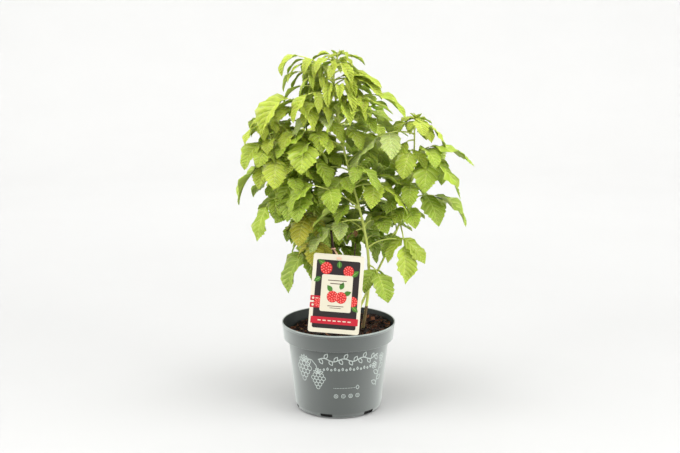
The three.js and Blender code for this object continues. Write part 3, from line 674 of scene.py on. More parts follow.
def build_pot():
    """The pot's wall carried round its axis, with a pocket pushed in at each drain slot.

    The finishes' slots are the wall, the pockets in painted shade, the inside in painted shade and the rim's
    painted highlight.
    """
    profile = pot_profile()
    points = around(profile[:, :1], POT_TURN, profile[:, 1:])
    rows = len(profile)
    faces = grid_faces(rows, POT_SIDES, round_columns=True)
    row_of, column_of = faces[:, 0] // POT_SIDES, faces[:, 0] % POT_SIDES
    first, last = (int(np.argmin(abs(profile[:12, 1] - z))) for z in (DRAIN["from"], DRAIN["to"]))
    pocket = np.zeros(len(faces), bool)
    starts = [int((DRAIN["first"] - DRAIN["span"] / 2 + i * 360 / DRAIN["count"]) / POT_STEP) % POT_SIDES
              for i in range(DRAIN["count"])]
    width = int(DRAIN["span"] / POT_STEP)
    for start in starts:
        mouth = (column_of - start) % POT_SIDES < width
        pocket |= mouth & (row_of >= first) & (row_of < last)
    # the band under the rim, its top and the inside just below it take a paler finish: a painted highlight
    edge = row_of >= int(np.argmax(profile[:, 1] > POT["height"] - POT["edge"] - 0.01))
    # the inside wall below that takes a darker copy of the wall's finish, without its sheen: painted shade
    within = row_of >= int(np.argmax(profile[:, 1] > POT["height"] - 0.1)) + 5
    heap = Heap()
    heap.add(points, faces[~pocket], np.where(within, 2, np.where(edge, 3, 0))[~pocket])
    pushed = points * ((profile[:, 0] - DRAIN["depth"]) / profile[:, 0])[:, None, None]
    pushed[..., 2] = points[..., 2]
    # each pocket's back and sides take the near-black slot finish: painted shade for the dark of an open slot
    for start in starts:
        columns = (start + np.arange(width + 1)) % POT_SIDES
        mouth, back = points[first:last + 1][:, columns], pushed[first:last + 1][:, columns]
        heap.sheet(back, 1)
        for near, far in ((mouth[0], back[0]), (back[-1], mouth[-1]),
                          (back[:, 0], mouth[:, 0]), (mouth[:, -1], back[:, -1])):
            heap.sheet(np.stack([near, far]), 1)
    for row, way in ((0, slice(None)), (rows - 1, slice(None, None, -1))):
        add_cap(heap, points[row][way], flipped=True)
    grey = finish("pot_grey", (40, 46, 43), (36, 42, 39), 14, 0.6, 900, 0.45, 0.12, 0.1, 0.1,
                  {"Specular IOR Level": 0.35, "Sheen Weight": 1.0, "Sheen Roughness": 0.6,
                   "Sheen Tint": (0.95, 1.0, 0.97, 1.0)})
    # near black: painted shade in the drain pockets
    dark = finish("slot_painted_shade", (14, 12, 11), (22, 18, 15), 60, 0.6, 700, 0.9)
    # a darker copy of the wall's finish: painted shade inside the pot
    inner = finish("pot_inside_painted_shade", (30, 39, 36), (25, 32, 29), 30, 0.8, 700, 0.6, 0.15, 0.15, 0.15)
    # paler than the wall: a painted highlight along the rim
    pale = finish("pot_edge_painted_highlight", (156, 164, 159), (132, 140, 136), 60, 0.7, 700, 0.45, 0.15, 0.1, 0.1)
    piece("pot_body", heap, [grey, dark, inner, pale], ["pot"], crease=34)


def wall_place(across, height, proud):
    """A point of the pot's outer wall: across is the way round it from the front, in mm."""
    heel, neck = POT["heel"], POT["neck"]
    radius = heel[0] + (neck[0] - heel[0]) * (height - heel[1]) / (neck[1] - heel[1])
    return around(radius + proud, 1.5 * np.pi + across / radius, height)


PRINT_PROUD = 0.12


def stroke(heap, line, width, closed=False):
    """A flat line of even width along points [across, height], a little proud of the wall.

    Its two edges lie half a width to each side of the line, square to the way it runs.
    """
    line = np.asarray(line, float)
    if closed:
        way = np.roll(line, -1, 0) - np.roll(line, 1, 0)
    else:
        way = np.gradient(line, axis=0)
    way = way / np.maximum(np.linalg.norm(way, axis=1, keepdims=True), 1e-9)
    square = np.stack([-way[:, 1], way[:, 0]], -1) * width / 2
    right, left = (line - square).T, (line + square).T
    rows = [wall_place(*right, 0.0), wall_place(*right, PRINT_PROUD),
            wall_place(*left, PRINT_PROUD), wall_place(*left, 0.0)]
    heap.sheet(np.stack(rows), round_columns=closed)


def ring_line(x, y, radius, sides=20, squash=1.0):
    c, s = circle(sides)
    return np.stack([x + radius * c, y + radius * squash * s], -1)


def leaf_line(x, y, length, width, heading):
    """A pointed leaf's outline: its half width is a sine of the way along it."""
    way = np.linspace(0, 1, 9)
    bulge = np.sin(np.pi * way ** 0.85) * width / 2
    along = np.concatenate([way, way[-2:0:-1]]) * length
    out = np.concatenate([bulge, -bulge[-2:0:-1]])
    c, s = compass(heading)
    return np.stack([x + along * c - out * s, y + along * s + out * c], -1)


def leaf_mark(heap, pen, *leaf):
    """A leaf's outline drawn with a pen of a width; leaf is what leaf_line takes."""
    stroke(heap, leaf_line(*leaf), pen, closed=True)


def ring_mark(heap, pen, *ring):
    """A ring drawn with a pen of a width; ring is what ring_line takes."""
    stroke(heap, ring_line(*ring), pen, closed=True)


def flower_lines(heap, pen, x, y, radius):
    """Five round petals about a small ring, each petal a loop."""
    ring_mark(heap, pen, x, y, radius * 0.3, 12)
    for k in range(5):
        c, s = compass(90 + 72 * k)
        ring_mark(heap, pen, x + 0.68 * radius * c, y + 0.68 * radius * s, radius * 0.34, 12)


def berry_lines(heap, pen, x, y, bead):
    """A raspberry in lines: rows of round beads that narrow downwards, under a leafy cap."""
    for row, count in enumerate((3, 4, 3, 2, 1)):
        for k in range(count):
            across = x + (k - (count - 1) / 2) * bead * 1.95
            ring_mark(heap, pen, across, y - row * bead * 1.65, bead, 12)
    for heading in (25, 60, 90, 120, 155):
        leaf_mark(heap, pen, x, y + bead * 0.9, bead * 3, bead * 1.2, heading)


def build_print():
    """Pale line ornaments on the wall: a waving vine over a row of small lozenges, two
    berries to the left, a flowering sprig to the right, and a row of round signs below."""
    heap = Heap()
    way = np.linspace(-34, 74, 110)
    stroke(heap, np.stack([way, 104 + 2.6 * np.sin(way / 5.2)], -1), 1.5)
    for i, x in enumerate(np.arange(-31, 74, 8.2)):
        leaf_mark(heap, 1.3, x, 104 + 2.6 * math.sin(x / 5.2), 9.5, 5.6, 60 if i % 2 else -60)
    for i, x in enumerate(np.arange(-24, 60, 6.2)):
        leaf_mark(heap, 1.2, x, 86 if i % 2 else 85.2, 4.8 if i % 2 else 3.4, 2.6, 90)
    berry_lines(heap, 1.2, -62, 92, 4.0)
    berry_lines(heap, 1.1, -34, 76, 3.2)
    stroke(heap, np.array([[-62, 98], [-56, 103], [-46, 101], [-38, 93], [-34, 81]]), 1.3)
    leaf_mark(heap, 1.2, -50, 102, 13, 7, 250)
    stem = np.stack([70 + 15 * np.linspace(0, 1, 24) ** 1.5, 50 + 44 * np.linspace(0, 1, 24)], -1)
    stroke(heap, stem, 1.3)
    for k, share in enumerate((0.1, 0.3, 0.5, 0.7)):
        x, y = stem[int(share * 23)]
        leaf_mark(heap, 1.2, x, y, 13, 7, 20 if k % 2 else 145)
    flower_lines(heap, 1.2, 86, 97, 8)
    flower_lines(heap, 1.2, 66, 88, 6)
    for x in np.arange(-8, 26, 2.6):
        stroke(heap, np.array([[x, 55], [x + 1.4, 55]]), 0.9)
    leaf_mark(heap, 1.0, 32, 52, 7, 5.4, 90)
    for k, x in enumerate((-4, 8, 20, 32)):
        ring_mark(heap, 0.8, x, 41, 3.2)
        for heading in range(0, 360, 90 if k % 2 else 60):
            c, s = compass(heading)
            stroke(heap, np.array([[x + 0.6 * c, 41 + 0.6 * s], [x + 2.2 * c, 41 + 2.2 * s]]), 0.6)
    white = finish("print_white", (188, 197, 192), (172, 181, 176), 60, 0.5, 500, 0.5)
    piece("pot_print", heap, [white], [], crease=30)


# ---------- the soil ----------

# the bed's mesh, its play from the wall, its foot above the lip's lower edge and its
# scatter; and the sizes and heights of its waves
BED = {"sides": 160, "rings": 70, "play": 0.4, "foot": 0.6, "scatter": 0.35}
CRUMBS = ((9.0, 1.3), (4.1, 0.9), (1.9, 0.6))

# the two colours of each kind of bark, the last one for pale fibres; the chips and the
# fibres: how many, how far out they lie, and what their sizes and turns are drawn from
BARKS = (((42, 21, 14), (20, 11, 8)), ((62, 32, 20), (34, 18, 12)), ((128, 76, 47), (70, 40, 25)),
         ((13, 8, 7), (7, 5, 4)), ((216, 172, 116), (160, 110, 70)))
CHIPS = {"count": 2400, "shares": [0.36, 0.26, 0.2, 0.18], "reach": 0.985, "gamma": (3.0, 1.15),
         "shortest": 1.2, "longest": 7.0, "breadth": (0.3, 0.75), "thickness": (0.35, 0.9),
         "ragged": (0.6, 1.1), "tip": 0.5, "lift": (0.2, 4.2)}
FIBRES = {"count": 170, "reach": 0.93, "length": (7, 24), "bend": 0.07, "arch": 3.0,
          "radius": (0.18, 0.42), "flat": 0.7, "lift": 1.6}


def add_chips(heap, edge, rng):
    """Rough blocks of bark, each turned and tipped, over the soil as far out as its edge.

    A block's half sizes are its length, which follows a gamma curve, a share of that for
    its breadth, and a thickness; each of its corners is drawn in or out by itself.
    """
    square = [(-1, -1), (1, -1), (1, 1), (-1, 1)]
    box = np.array([(x, y, z) for z in (-1, 1) for x, y in square], float)
    box_faces = np.array([[3, 2, 1, 0], [4, 5, 6, 7], [0, 1, 5, 4], [1, 2, 6, 5], [2, 3, 7, 6], [3, 0, 4, 7]])
    count = CHIPS["count"]
    radius = edge * np.sqrt(rng.uniform(0, 1, count)) * CHIPS["reach"]
    turn = rng.uniform(0, 2 * np.pi, count)
    px, py = radius * np.cos(turn), radius * np.sin(turn)
    long = rng.gamma(*CHIPS["gamma"], count) + CHIPS["shortest"]
    broad = long * rng.uniform(*CHIPS["breadth"], count)
    half = np.stack([long, broad, rng.uniform(*CHIPS["thickness"], count)], -1)
    half *= np.minimum(1, CHIPS["longest"] / long)[:, None]
    corners = box[None] * half[:, None] * rng.uniform(*CHIPS["ragged"], (count, 8, 3))
    yaw, tip = rng.uniform(0, np.pi, count), rng.normal(0, CHIPS["tip"], count)
    cy, sy, ct, st = (f(v)[:, None] for f, v in ((np.cos, yaw), (np.sin, yaw), (np.cos, tip), (np.sin, tip)))
    lx, ly, lz = corners[..., 0], corners[..., 1], corners[..., 2]
    lx, lz = lx * ct - lz * st, lx * st + lz * ct
    lift = soil_height(px, py) + rng.uniform(*CHIPS["lift"], count)
    placed = np.stack([px[:, None] + lx * cy - ly * sy, py[:, None] + lx * sy + ly * cy,
                       lift[:, None] + lz], -1)
    reach = np.linalg.norm(placed[..., :2], axis=-1).max(1)
    kept = np.flatnonzero(reach < edge)
    tones = rng.choice(len(CHIPS["shares"]), count, p=CHIPS["shares"])
    for tone in range(len(CHIPS["shares"])):
        which = kept[tones[kept] == tone]
        faces = box_faces[None] + (np.arange(len(which)) * 8)[:, None, None]
        heap.add(placed[which], faces, tone)


def add_fibres(heap, edge, rng):
    """Thin bent fibres that lie on the soil: a heading that turns evenly along each."""
    way = np.linspace(0, 1, 6)
    cs, sn = circle(4)
    for _ in range(FIBRES["count"]):
        r, t = edge * FIBRES["reach"] * math.sqrt(rng.uniform()), rng.uniform(0, 2 * np.pi)
        length, head = rng.uniform(*FIBRES["length"]), rng.uniform(0, 2 * np.pi)
        turn_at = head + rng.normal(0, FIBRES["bend"]) * length * way
        fx = r * math.cos(t) + np.cumsum(np.cos(turn_at)) * length / 6
        fy = r * math.sin(t) + np.cumsum(np.sin(turn_at)) * length / 6
        far = np.hypot(fx, fy).max()
        if far > edge - 1:
            fx, fy = fx * (edge - 1) / far, fy * (edge - 1) / far
        arch = rng.uniform(0, FIBRES["arch"]) * np.sin(np.pi * way * rng.uniform(0.4, 1.0))
        fz = soil_height(fx, fy) + FIBRES["lift"] + arch
        thin = rng.uniform(*FIBRES["radius"])
        ring = np.stack([cs * thin, sn * thin * FIBRES["flat"], sn * thin], -1)
        add_tube(heap, np.stack([fx, fy, fz], -1)[:, None] + ring[None], 4 if rng.uniform() < 0.5 else 2)


def build_soil():
    """The filling's rough top out to the wall, its flank down inside the pot, and its bark.

    The top is the rule's gentle slope plus three waves of growing fineness, each a sine
    times a cosine whose places are shifted by sines, and a little scatter for the crumb.
    """
    rng = np.random.default_rng(11)
    c, s = circle(BED["sides"])
    edge = POT["lip"][0] - POT["wall"] - BED["play"]
    foot = POT["lip"][1] + BED["foot"]
    radii = np.concatenate([np.linspace(1, edge, BED["rings"]), [edge]])
    x, y = radii[:, None] * c, radii[:, None] * s
    z = soil_height(x, y)
    for size, high in CRUMBS:
        phase = rng.uniform(0, 6, 4)
        along = np.sin(x / size + phase[0] + np.sin(y / size + phase[1]))
        z += high * along * np.cos(y / size * 1.13 + phase[2] + np.sin(x / size + phase[3]))
    z += rng.normal(0, BED["scatter"], z.shape)
    z = np.where(radii[:, None] > POT["neck"][0] - POT["wall"] - 0.5, np.maximum(z, foot), z)
    z[-1] = foot
    points = np.stack([x, y, z], -1)
    heap = Heap()
    heap.sheet(points, flipped=True, round_columns=True)
    add_cap(heap, points[0])
    add_cap(heap, points[-1], flipped=True)
    peat = finish("peat", (22, 12, 9), (9, 6, 5), 120, 0.9, 900, 0.95, 0.1, 0.8, 1.2)
    piece("soil_top", heap, [peat], ["soil"])
    chips = Heap()
    add_chips(chips, edge, rng)
    add_fibres(chips, edge, rng)
    barks = [finish(f"bark_{i}", tone, shade, 300, 0.8, 800, 0.9, 0.1, 0.6, 0.6)
             for i, (tone, shade) in enumerate(BARKS)]
    piece("soil_chips", chips, barks, [], crease=40)


# ---------- the label ----------

# the card's inks by slot, each with its shade
INKS = {
    "card_cream": ((208, 202, 182), (202, 196, 175)), "ink_black": ((36, 26, 27), (30, 22, 23)),
    "ink_red": ((180, 22, 42), (168, 20, 38)), "berry_deep": ((172, 26, 30), (150, 20, 25)),
    "berry_red": ((214, 50, 46), (200, 40, 40)), "berry_light": ((240, 150, 138), (232, 134, 122)),
    "ink_green": ((66, 116, 38), (50, 98, 32)), "ink_pale_green": ((132, 172, 80), (112, 156, 68)),
    "ink_brown": ((92, 70, 58), (78, 60, 50)),
}
CREAM, BLACK, RED, DEEP, BEAD, GLINT, GREEN, PALE_GREEN, BROWN = range(len(INKS))


def label_place(across, up, proud):
    """A point of the leaning card: across and up on its printed face, proud out of it."""
    lean, turn = (90 - LABEL["lean"]) * RAD, LABEL["turn"] * RAD
    across, up, proud = np.broadcast_arrays(np.asarray(across, float), up, proud)
    x = across * math.cos(turn) - up * math.sin(turn)
    y = across * math.sin(turn) + up * math.cos(turn)
    dip = LABEL["width"] / 2 * math.sin(abs(turn))
    return np.stack([LABEL["foot"][0] + x,
                     LABEL["foot"][1] + y * math.cos(lean) - proud * math.sin(lean),
                     POT["height"] + GAP + dip + y * math.sin(lean) + proud * math.cos(lean)], -1)


def rounded_box(left, right, low, high, corner, steps=5):
    """A rectangle's outline, anticlockwise, each corner a quarter circle."""
    turn = np.linspace(0, np.pi / 2, steps)
    out = []
    for x, y, start in ((right - corner, high - corner, 0), (left + corner, high - corner, 1),
                        (left + corner, low + corner, 2), (right - corner, low + corner, 3)):
        angle = turn + start * np.pi / 2
        out.append(np.stack([x + corner * np.cos(angle), y + corner * np.sin(angle)], -1))
    return np.concatenate(out)


def patch(heap, outline, proud, slot, ground=0.0, dome=0.0):
    """A thin printed shape: its outline rises from the ground, and a fan fills its face."""
    outline = np.asarray(outline, float)
    middle = outline.mean(0)
    inner = middle + (outline - middle) * 0.6
    rows = [label_place(*outline.T, ground), label_place(*outline.T, proud),
            label_place(*inner.T, proud + dome)]
    count = len(outline)
    points = np.concatenate([*rows, label_place(*middle, proud + dome)[None]])
    fan = fan_faces(2 * count + np.arange(count), 3 * count)
    heap.add(points, np.concatenate([grid_faces(3, count, round_columns=True), fan]), slot)


def drawn_berry(heap, x, y, radius, level):
    """A raspberry drawn as a round of small beads: rings of beads round a middle one."""
    patch(heap, ring_line(x, y, radius, 20, 1.05), level, DEEP)
    for ring, count in ((0.78, 11), (0.45, 6), (0.0, 1)):
        for k in range(count):
            turn = k / count * 2 * np.pi + ring
            bx, by = x + ring * radius * math.cos(turn), y + ring * radius * 1.05 * math.sin(turn)
            glint = ring_line(bx - radius * 0.05, by + radius * 0.06, radius * 0.09, 6)
            patch(heap, ring_line(bx, by, radius * 0.2, 10), level + 0.05, BEAD, dome=0.08)
            patch(heap, glint, level + 0.16, GLINT)


# the design's parts, in mm on the card: leaves as place, size and heading, berries as place
# and radius, bars as height, half width and thickness
CORNER_LEAVES = ((-20, 108, 15, 9, 150), (22, 92, 15, 9, 40), (-27, 88, 13, 8, 215),
                 (26, 45, 14, 8, 320), (2, 104, 12, 8, 95))
CORNER_BERRIES = ((-19, 103, 9.5), (17, 100, 8.5), (-27, 47, 7.5), (27, 52, 8))
BARS = ((84, 15, 1.4), (79, 11, 1.4), (43, 13, 1.2), (40, 9, 1.0))


def add_card(heap):
    """The card itself: its outline back to front, and in again round the strap's slot."""
    half, high, thick = LABEL["width"] / 2, LABEL["height"], LABEL["thickness"]
    outer = rounded_box(-half, half, 0, high, LABEL["corner"])
    hole_y = high - LABEL["below"]
    turn = np.arctan2(outer[:, 1] - hole_y, outer[:, 0])
    slot = np.stack([LABEL["slot"][0] / 2 * np.cos(turn), hole_y + LABEL["slot"][1] / 2 * np.sin(turn)], -1)
    loops = np.stack([label_place(*outer.T, -thick), label_place(*outer.T, -0.1),
                      label_place(*(outer * (0.997, 1)).T, 0.0),
                      label_place(*slot.T, 0.0), label_place(*slot.T, -thick)])
    heap.sheet(loops, round_rows=True, round_columns=True)


def build_label():
    """The card with its slot, and a plain design printed on it: a dark panel, berries with
    leaves, a pale panel with short bars, and a red band along the foot."""
    half = LABEL["width"] / 2
    heap = Heap()
    add_card(heap)

    def box(left, right, low, high, corner, proud, ink, ground=0.0, steps=5):
        patch(heap, rounded_box(left, right, low, high, corner, steps), proud, ink, ground)

    box(-half + 6, half - 6, 7, LABEL["height"] - 9.5, 3, 0.05, BLACK)
    box(-half + 3, half - 3, 14, 25, 1, 0.08, RED, 0.05)
    for x in range(-24, 25, 8):
        box(x - 2.6, x + 2.6, 18.7, 20.3, 0.5, 0.11, CREAM, 0.08, 3)
    for x, y, length, width, heading in CORNER_LEAVES:
        patch(heap, leaf_line(x, y, length, width, heading), 0.09, GREEN, ground=0.05)
        patch(heap, leaf_line(x, y, length * 0.9, width * 0.12, heading), 0.12, PALE_GREEN, ground=0.09)
    for x, y, radius in CORNER_BERRIES:
        drawn_berry(heap, x, y, radius, 0.12)
    box(-25, 25, 34, 93, 3, 0.34, CREAM, 0.05)
    for y, wide, tall in BARS:
        box(-wide, wide, y - tall / 2, y + tall / 2, 0.4, 0.38, BROWN, 0.34, 3)
    for x, y, heading in ((-7, 66, 130), (6, 70, 70), (12, 62, 25)):
        patch(heap, leaf_line(x, y, 13, 8, heading), 0.38, GREEN, ground=0.34)
    drawn_berry(heap, -6, 58, 9, 0.41)
    drawn_berry(heap, 8, 57, 9, 0.43)
    box(-half, -half + 17, 50, 58, 1, 0.08, RED)
    box(-half, -half + 17, 39, 47, 1, 0.08, RED)
    for y in (54, 43):
        patch(heap, ring_line(-half + 4.5, y, 1.9, 12), 0.12, CREAM, ground=0.08)
        box(-half + 8.5, -half + 15, y - 0.8, y + 0.8, 0.4, 0.12, CREAM, 0.08, 3)
    inks = [finish(name, *tones, 40, 0.4, 300, 0.38, 0.1, 0.05, 0.1) for name, tones in INKS.items()]
    piece("label_card", heap, inks, ["label"], crease=40)


# ---------- canes ----------

CANE_SIDES = 12
CANE_BARE = 0.86   # share of the radius inside the bristles
CANE_SUNK = -0.02  # where a cane starts, below the soil
CANE_STATIONS = 150
CANE_BROWN = 0.12  # share of a cane's length that is brown at the foot

# the ribs round a cane; how much a joint swells, and how far; the prickles: where they
# stand, how they lean, how deep they root, and their sizes
RIBS = {"count": 5, "depth": 0.05, "wind": 9}
SWELLING = {"more": 0.3, "reach": 2.6}
BRISTLES = {"count": 130, "share": (0.02, 0.97), "lean": (-0.1, 0.5), "root": 0.8, "half_width": 0.22,
            "height": 0.3, "length": (0.7, 1.7)}


def cane_rings(cane, stations, joints, rng, rough):
    """Rings up a cane: its radius less the bristles' share, times faint ribs, a swelling at
    each joint, and grain.

    The ribs are a cosine of five times the way round, which winds as it climbs; a
    swelling is a bell curve of the height above or below its joint.
    """
    share = np.linspace(CANE_SUNK, 1, stations)
    middle = cane_point(cane, share)
    rise = cane["tip"][2] - soil_height(*cane["foot"])
    radius = cane_radius(cane, share)[:, None] * CANE_BARE
    for joint in joints:
        bell = np.exp(-((share - joint) * rise / SWELLING["reach"]) ** 2)
        radius = radius * (1 + SWELLING["more"] * bell)[:, None]
    turn = even_turns(CANE_SIDES)
    ribs = 1 + RIBS["depth"] * np.cos(RIBS["count"] * turn[None] + share[:, None] * RIBS["wind"])
    radius = radius * ribs * (1 + rng.normal(0, rough, (stations, CANE_SIDES)))
    return middle[:, None] + around(radius, turn, 0)


def add_bristles(heap, cane, rng, slot):
    """Short soft prickles: three-sided spikes that stand out of the cane and a little up."""
    count = BRISTLES["count"]
    share = rng.uniform(*BRISTLES["share"], count)
    turn = rng.uniform(0, 2 * np.pi, count)
    out = np.stack([np.cos(turn), np.sin(turn), rng.uniform(*BRISTLES["lean"], count)], -1)
    root = cane_point(cane, share) + out * (cane_radius(cane, share) * BRISTLES["root"])[:, None]
    across = np.stack([-np.sin(turn), np.cos(turn), 0 * turn], -1) * BRISTLES["half_width"]
    up = np.array([0, 0, BRISTLES["height"]])
    length = rng.uniform(*BRISTLES["length"], count)[:, None]
    low = root - up * 0.5
    corners = np.stack([low - across, low + across, root + up, root + out * length], 1)
    one = np.array([[0, 1, 3, -1], [1, 2, 3, -1], [2, 0, 3, -1]])
    faces = one[None] + (np.arange(count) * 4)[:, None, None]
    heap.add(corners, np.where(one[None] < 0, -1, faces), slot)


def build_canes(stem_arcs):
    """Green canes with joints and bristles, the stems of their tips, and two dead stubs."""
    rng = np.random.default_rng(5)
    green, old = Heap(), Heap()
    for name, cane in CANES.items():
        joints = [row[0] for row in LEAVES[name]]
        slot = 1 if name in ("back", "rear") else 0
        rings = cane_rings(cane, CANE_STATIONS, joints, rng, 0.035)
        browned = int(CANE_STATIONS * CANE_BROWN)
        add_tube(green, rings[:browned + 1], 2)
        add_tube(green, rings[browned:], slot)
        add_bristles(green, cane, rng, slot)
    for stem in stem_arcs:
        green_stalk(green, stem, (1.6, 1.1))
    for name, stub in STUBS.items():
        rings = cane_rings(stub, 70, [0.3, 0.62, 0.85], rng, 0.09)
        rings[-1, :, 2] += 1.4 * np.cos(np.arange(CANE_SIDES))
        add_tube(old, rings)
    greens = [finish("cane_green", (216, 226, 118), (196, 208, 96), 45, 0.8, 900, 0.5, 0.2, 0.3, 0.25),
              finish("cane_olive", (190, 204, 100), (162, 174, 82), 45, 0.8, 900, 0.5, 0.2, 0.3, 0.25),
              finish("cane_foot", (122, 112, 66), (104, 78, 50), 60, 0.9, 900, 0.6, 0.2, 0.4, 0.3)]
    piece("canes", green, greens, [f"cane_{name}" for name in CANES], crease=60)
    bark = finish("dead_bark", (74, 52, 40), (40, 28, 22), 130, 0.9, 700, 0.85, 0.1, 0.8, 0.6)
    piece("stubs", old, [bark], list(STUBS), crease=60)


def green_stalk(heap, stalk, radii):
    """A stalk along its arc: six-sided, an even taper, and a swelling that dies away."""
    share = np.linspace(0, 1, 9)
    points, face, side, _ = arc(**stalk, share=share)
    radius = radii[0] + (radii[1] - radii[0]) * share + 0.5 * np.exp(-share * 14)
    c, s = circle(6)
    ring = side[:, None] * c[None, :, None] - face[:, None] * s[None, :, None]
    add_tube(heap, points[:, None] + ring * radius[:, None, None])


# ---------- leaflets ----------

VEINS = 8                                      # pairs of side veins
ROWS = np.arange(2 * VEINS + 1) / (2 * VEINS)  # shares up the midrib: two rows a vein
TOOTH = np.array([1.0, -0.9] * VEINS + [0.0])  # each row's edge: out, in, and none at the tip
ACROSS = np.array([-1, -0.5, 0, 0.5, 1])       # places across the upper face
BELOW = np.array([-1, 0.0, 1])                 # places across the underside
THICK = 0.32
STALK_RADII = (1.45, 1.0)

# how far a side vein sweeps forward; the teeth, the droop of the halves, the edge's wave
# and the puff as shares of the half width; the tip's bend as a share of the length; and
# the degrees by which a whole blade turns and twists
BLADE = {"sweep": 1.4, "teeth": 0.1, "droop": 0.26, "wave": 0.17, "puff": 0.16,
         "bend": 0.1, "turn": 16, "twist": 34}


def blade_points(leaflets, across):
    """The points of many leaflets' blades, [leaflet, row, place across, xyz].

    A row follows a side vein: it leaves the midrib at its own share and has moved
    towards the tip by the sweep when it reaches the edge. The half width there is a
    power of the way from the root times a power of the way to the tip, widened and
    narrowed by the teeth. Between two veins the blade is puffed up by a half sine, its
    halves are folded up from the midrib and curve down again towards their edges, and
    a slow sine waves the edge. All this is then carried along the leaflet's arc, and
    turned a little about it.
    """
    take = {key: np.array([one[key] for one in leaflets], float) for key in
            ("root", "heading", "rise", "length", "breadth", "sag", "fold", "seed")}
    shape = [np.array([spread(seed + k) for seed in take["seed"]])[:, None, None]
             for k in (0.11, 0.22, 0.33, 0.44)]
    s, c = ROWS[None, :, None], across[None, None, :]
    reach = abs(c)
    edge = s + BLADE["sweep"] * s * (1 - s) ** 1.5
    along = s + (edge - s) * reach ** 1.2
    hull = edge ** 0.62 * (1 - edge) ** 0.8 * (1 - 0.3 * edge ** 6)
    hull = hull / hull.max()
    half_most = (take["length"] * take["breadth"] / 2)[:, None, None]
    ragged = TOOTH[None, :, None] * BLADE["teeth"] * np.sin(np.pi * edge) ** 0.4 * reach ** 4
    half = np.maximum(half_most * hull * (1 + ragged), 0.5)
    puff = np.sin(np.pi * (ROWS * VEINS % 1.0))[None, :, None] * reach ** 0.5 * (1 - 0.6 * reach)
    fold = take["fold"][:, None, None] * RAD
    wave = np.sin(2 * np.pi * (1.8 * along + shape[0]) + 1.9 * np.sign(c)) * reach ** 2
    lift = half * (reach * np.sin(fold) - BLADE["droop"] * reach ** 2 + BLADE["wave"] * wave)
    lift = lift + half_most * BLADE["puff"] * puff * hull ** 0.5
    bend = take["length"][:, None, None] * BLADE["bend"] * shape[1] * along ** 2
    sideways = half * c * np.cos(fold) + bend
    turn = (BLADE["turn"] * shape[2] + BLADE["twist"] * shape[3] * along) * RAD
    sideways, lift = (sideways * np.cos(turn) - lift * np.sin(turn),
                      sideways * np.sin(turn) + lift * np.cos(turn))
    flat = np.broadcast_to(along, half.shape).reshape(len(leaflets), -1)
    points, face, side, _ = arc(*(take[key] for key in ("root", "heading", "rise", "length", "sag")), flat)
    points = points + side * sideways.reshape(flat.shape)[..., None]
    points = points + face * lift.reshape(flat.shape)[..., None]
    grid = (*half.shape[:1], len(ROWS), len(across), 3)
    return points.reshape(grid), face.reshape(grid)


def add_leaflets(heap, leaflets, tones):
    """Upper and lower blades of many leaflets; they meet along the toothed edge."""
    top, _ = blade_points(leaflets, ACROSS)
    under, face = blade_points(leaflets, BELOW)
    thin = np.ones((len(ROWS), len(BELOW)))
    thin[[0, -1]] = 0
    thin[:, [0, -1]] = 0
    under = under - face * (THICK * thin)[None, ..., None]
    top_faces, under_faces = grid_faces(len(ROWS), len(ACROSS)), grid_faces(len(ROWS), len(BELOW))[:, ::-1]
    top_places, under_places = (np.stack(np.broadcast_arrays(ROWS[:, None] * VEINS, across), -1)
                                for across in (ACROSS, BELOW))
    for one in range(len(leaflets)):
        heap.add(top[one], top_faces, tones[one] * 2, top_places)
        heap.add(under[one], under_faces, tones[one] * 2 + 1, under_places)


# blade, vein and underside of each tone: from the brightest young leaves to the oldest, which the
# tones also use as painted light and shade; then a yellowing one, one that shows its pale back and a dead one
GREENS = [
    ((176, 192, 54), (208, 218, 116), (186, 200, 96)),
    ((166, 186, 50), (202, 216, 110), (182, 200, 94)),
    ((156, 180, 46), (198, 214, 104), (180, 198, 94)),
    ((150, 174, 50), (196, 212, 104), (178, 196, 96)),
    ((142, 166, 52), (190, 208, 102), (176, 192, 98)),
    ((188, 184, 56), (210, 210, 108), (184, 188, 98)),
    ((170, 186, 98), (208, 220, 146), (180, 194, 110)),
    ((124, 88, 50), (150, 116, 74), (132, 100, 62)),
]

# leaves of the table, by cane and row, with a tone of their own and a share of the breadth
TOLD = {
    ("main", 1): (6, 1), ("main", 2): (0, 0.8), ("main", 3): (2, 1), ("main", 8): (6, 1),
    ("mid", 0): (4, 0.85), ("mid", 2): (5, 1), ("mid", 6): (0, 1),
    ("right", 0): (1, 1), ("right", 2): (3, 1), ("right", 3): (1, 0.6), ("right", 4): (6, 0.85),
    ("right", 5): (2, 1), ("right", 6): (2, 1),
}


# what each counts for in a leaflet's brightness, partly age and partly painted light and shade: its
# height, its way out from the crown's axis (painted shade on inner leaves), chance, and being on a tip
# or among the filling leaves (painted shade deep in the crown); then the tone it makes
BRIGHT = {"axis": (10, 10), "height": (0.85, 260, 300), "out": (0.22, 20, 110), "stray": 0.36,
          "tip": 0.22, "filling": -0.12}
TONE = {"deepest": 4, "start": 4.2, "fall": 4.4}

# leaflets high up are young: narrower and more folded; every fold is sharper than the
# rule's; and the bud on each tip is a few short leaflets, each flatter than the last
YOUNG = {"from": 470, "over": 70, "narrower": 0.34, "fold": 16}
FOLD_MORE = 1.5
BUD = {"count": 4, "turn": 90, "first": 30, "rise": (78, -9), "length": (13, 3)}
BUD_SHAPE = {"breadth": 0.5, "sag": 25, "fold": 48}


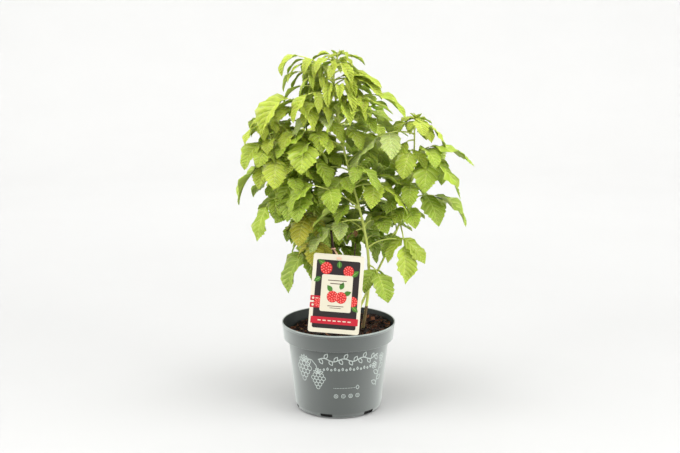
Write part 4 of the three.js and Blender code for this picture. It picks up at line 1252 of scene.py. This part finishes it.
def tone_of(leaflet, bias):
    """High leaves are bright, being young and in painted light; low and inner ones deep, in painted shade;
    bias and a stray move each.
    """
    def counts(key, value):
        weight, start, span = BRIGHT[key]
        return weight * ((value - start) / span)

    away = np.linalg.norm(leaflet["root"][:2] - BRIGHT["axis"])
    stray = BRIGHT["stray"] * spread(leaflet["seed"] + 0.77)
    light = counts("height", leaflet["root"][2]) + counts("out", away) + stray + bias
    return int(np.clip(TONE["start"] - TONE["fall"] * light, 0, TONE["deepest"]))


def grown_leaves(name, index, tip):
    """A cane's leaves with each one's bias to the light, its tone if told, and its breadth."""
    free = (None, 1)
    leaves = [(one, BRIGHT["tip"], free) for one in tip]
    for i, row in enumerate(LEAVES[name]):
        leaves += [(one, 0, TOLD.get((name, i), free)) for one in side_leaves(name, row, i)]
    for i, (*row, tone) in enumerate(LATE.get(name, [])):
        slim = 0.9 if row[6] < 5 else 0.8
        leaves += [(one, 0, (tone, slim)) for one in side_leaves(name, (*row, 0), 50 + i)]
    # the filling leaves lie deep in the crown and take a darker bias: painted shade
    return leaves + [(one, BRIGHT["filling"], free) for one in filling_leaves(name, index)]


def build_foliage():
    """Every compound leaf that the rule grows, and a bud of folded young leaves on each tip."""
    stalks, blades, stems = Heap(), [], []
    for index, name in enumerate(CANES):
        stem_arc, tip = leafy_tip(name, index)
        stems.append(stem_arc)
        for (stalk, leaflets), bias, (told, slim) in grown_leaves(name, index, tip):
            green_stalk(stalks, stalk, STALK_RADII)
            for leaflet in leaflets:
                young = float(np.clip((leaflet["root"][2] - YOUNG["from"]) / YOUNG["over"], 0, 1))
                leaflet["breadth"] *= slim * (1 - YOUNG["narrower"] * young)
                leaflet["fold"] = FOLD_MORE * leaflet["fold"] + YOUNG["fold"] * young
                blades.append((leaflet, tone_of(leaflet, bias) if told is None else told))
        crest = arc(**stem_arc, share=[1.0])[0][0]
        for k in range(BUD["count"]):
            heading = stem_arc["heading"] + BUD["turn"] * k + BUD["first"]
            rise, length = BUD["rise"][0] + BUD["rise"][1] * k, BUD["length"][0] + BUD["length"][1] * k
            blades.append((dict(root=crest, heading=heading, rise=rise, length=length,
                                seed=index * 13 + k + 0.21, **BUD_SHAPE), 0))
    finishes = []
    for i, (blade, vein, under) in enumerate(GREENS):
        finishes += [leaf_finish(f"leaf_blade_{i}", blade, vein, 1.5),
                     leaf_finish(f"leaf_under_{i}", under, [v * 1.1 for v in under], 1.1)]
    masses = [node for node in NODES if node.startswith(("leaf_", "tip_"))]
    share = -(-len(blades) // 2)
    for part in range(2):
        some = blades[part * share:(part + 1) * share]
        heap = Heap()
        add_leaflets(heap, [leaflet for leaflet, _ in some], [tone for _, tone in some])
        piece(f"leaflets_{part + 1}", heap, finishes, masses, crease=70)
    green = finish("stalk_green", (216, 226, 122), (198, 210, 102), 60, 0.7, 900, 0.5, 0.2, 0.2, 0.2)
    piece("stalks", stalks, [green], [], crease=60)
    return stems


build_camera()
build_floor()
build_lights()
build_pot()
build_print()
build_soil()
build_label()
build_canes(build_foliage())

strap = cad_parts["label_strap"]
strap.data.materials.clear()
strap.data.materials.append(finish("strap_peach", (232, 184, 160), (222, 170, 146), 60, 0.5, 400, 0.45))
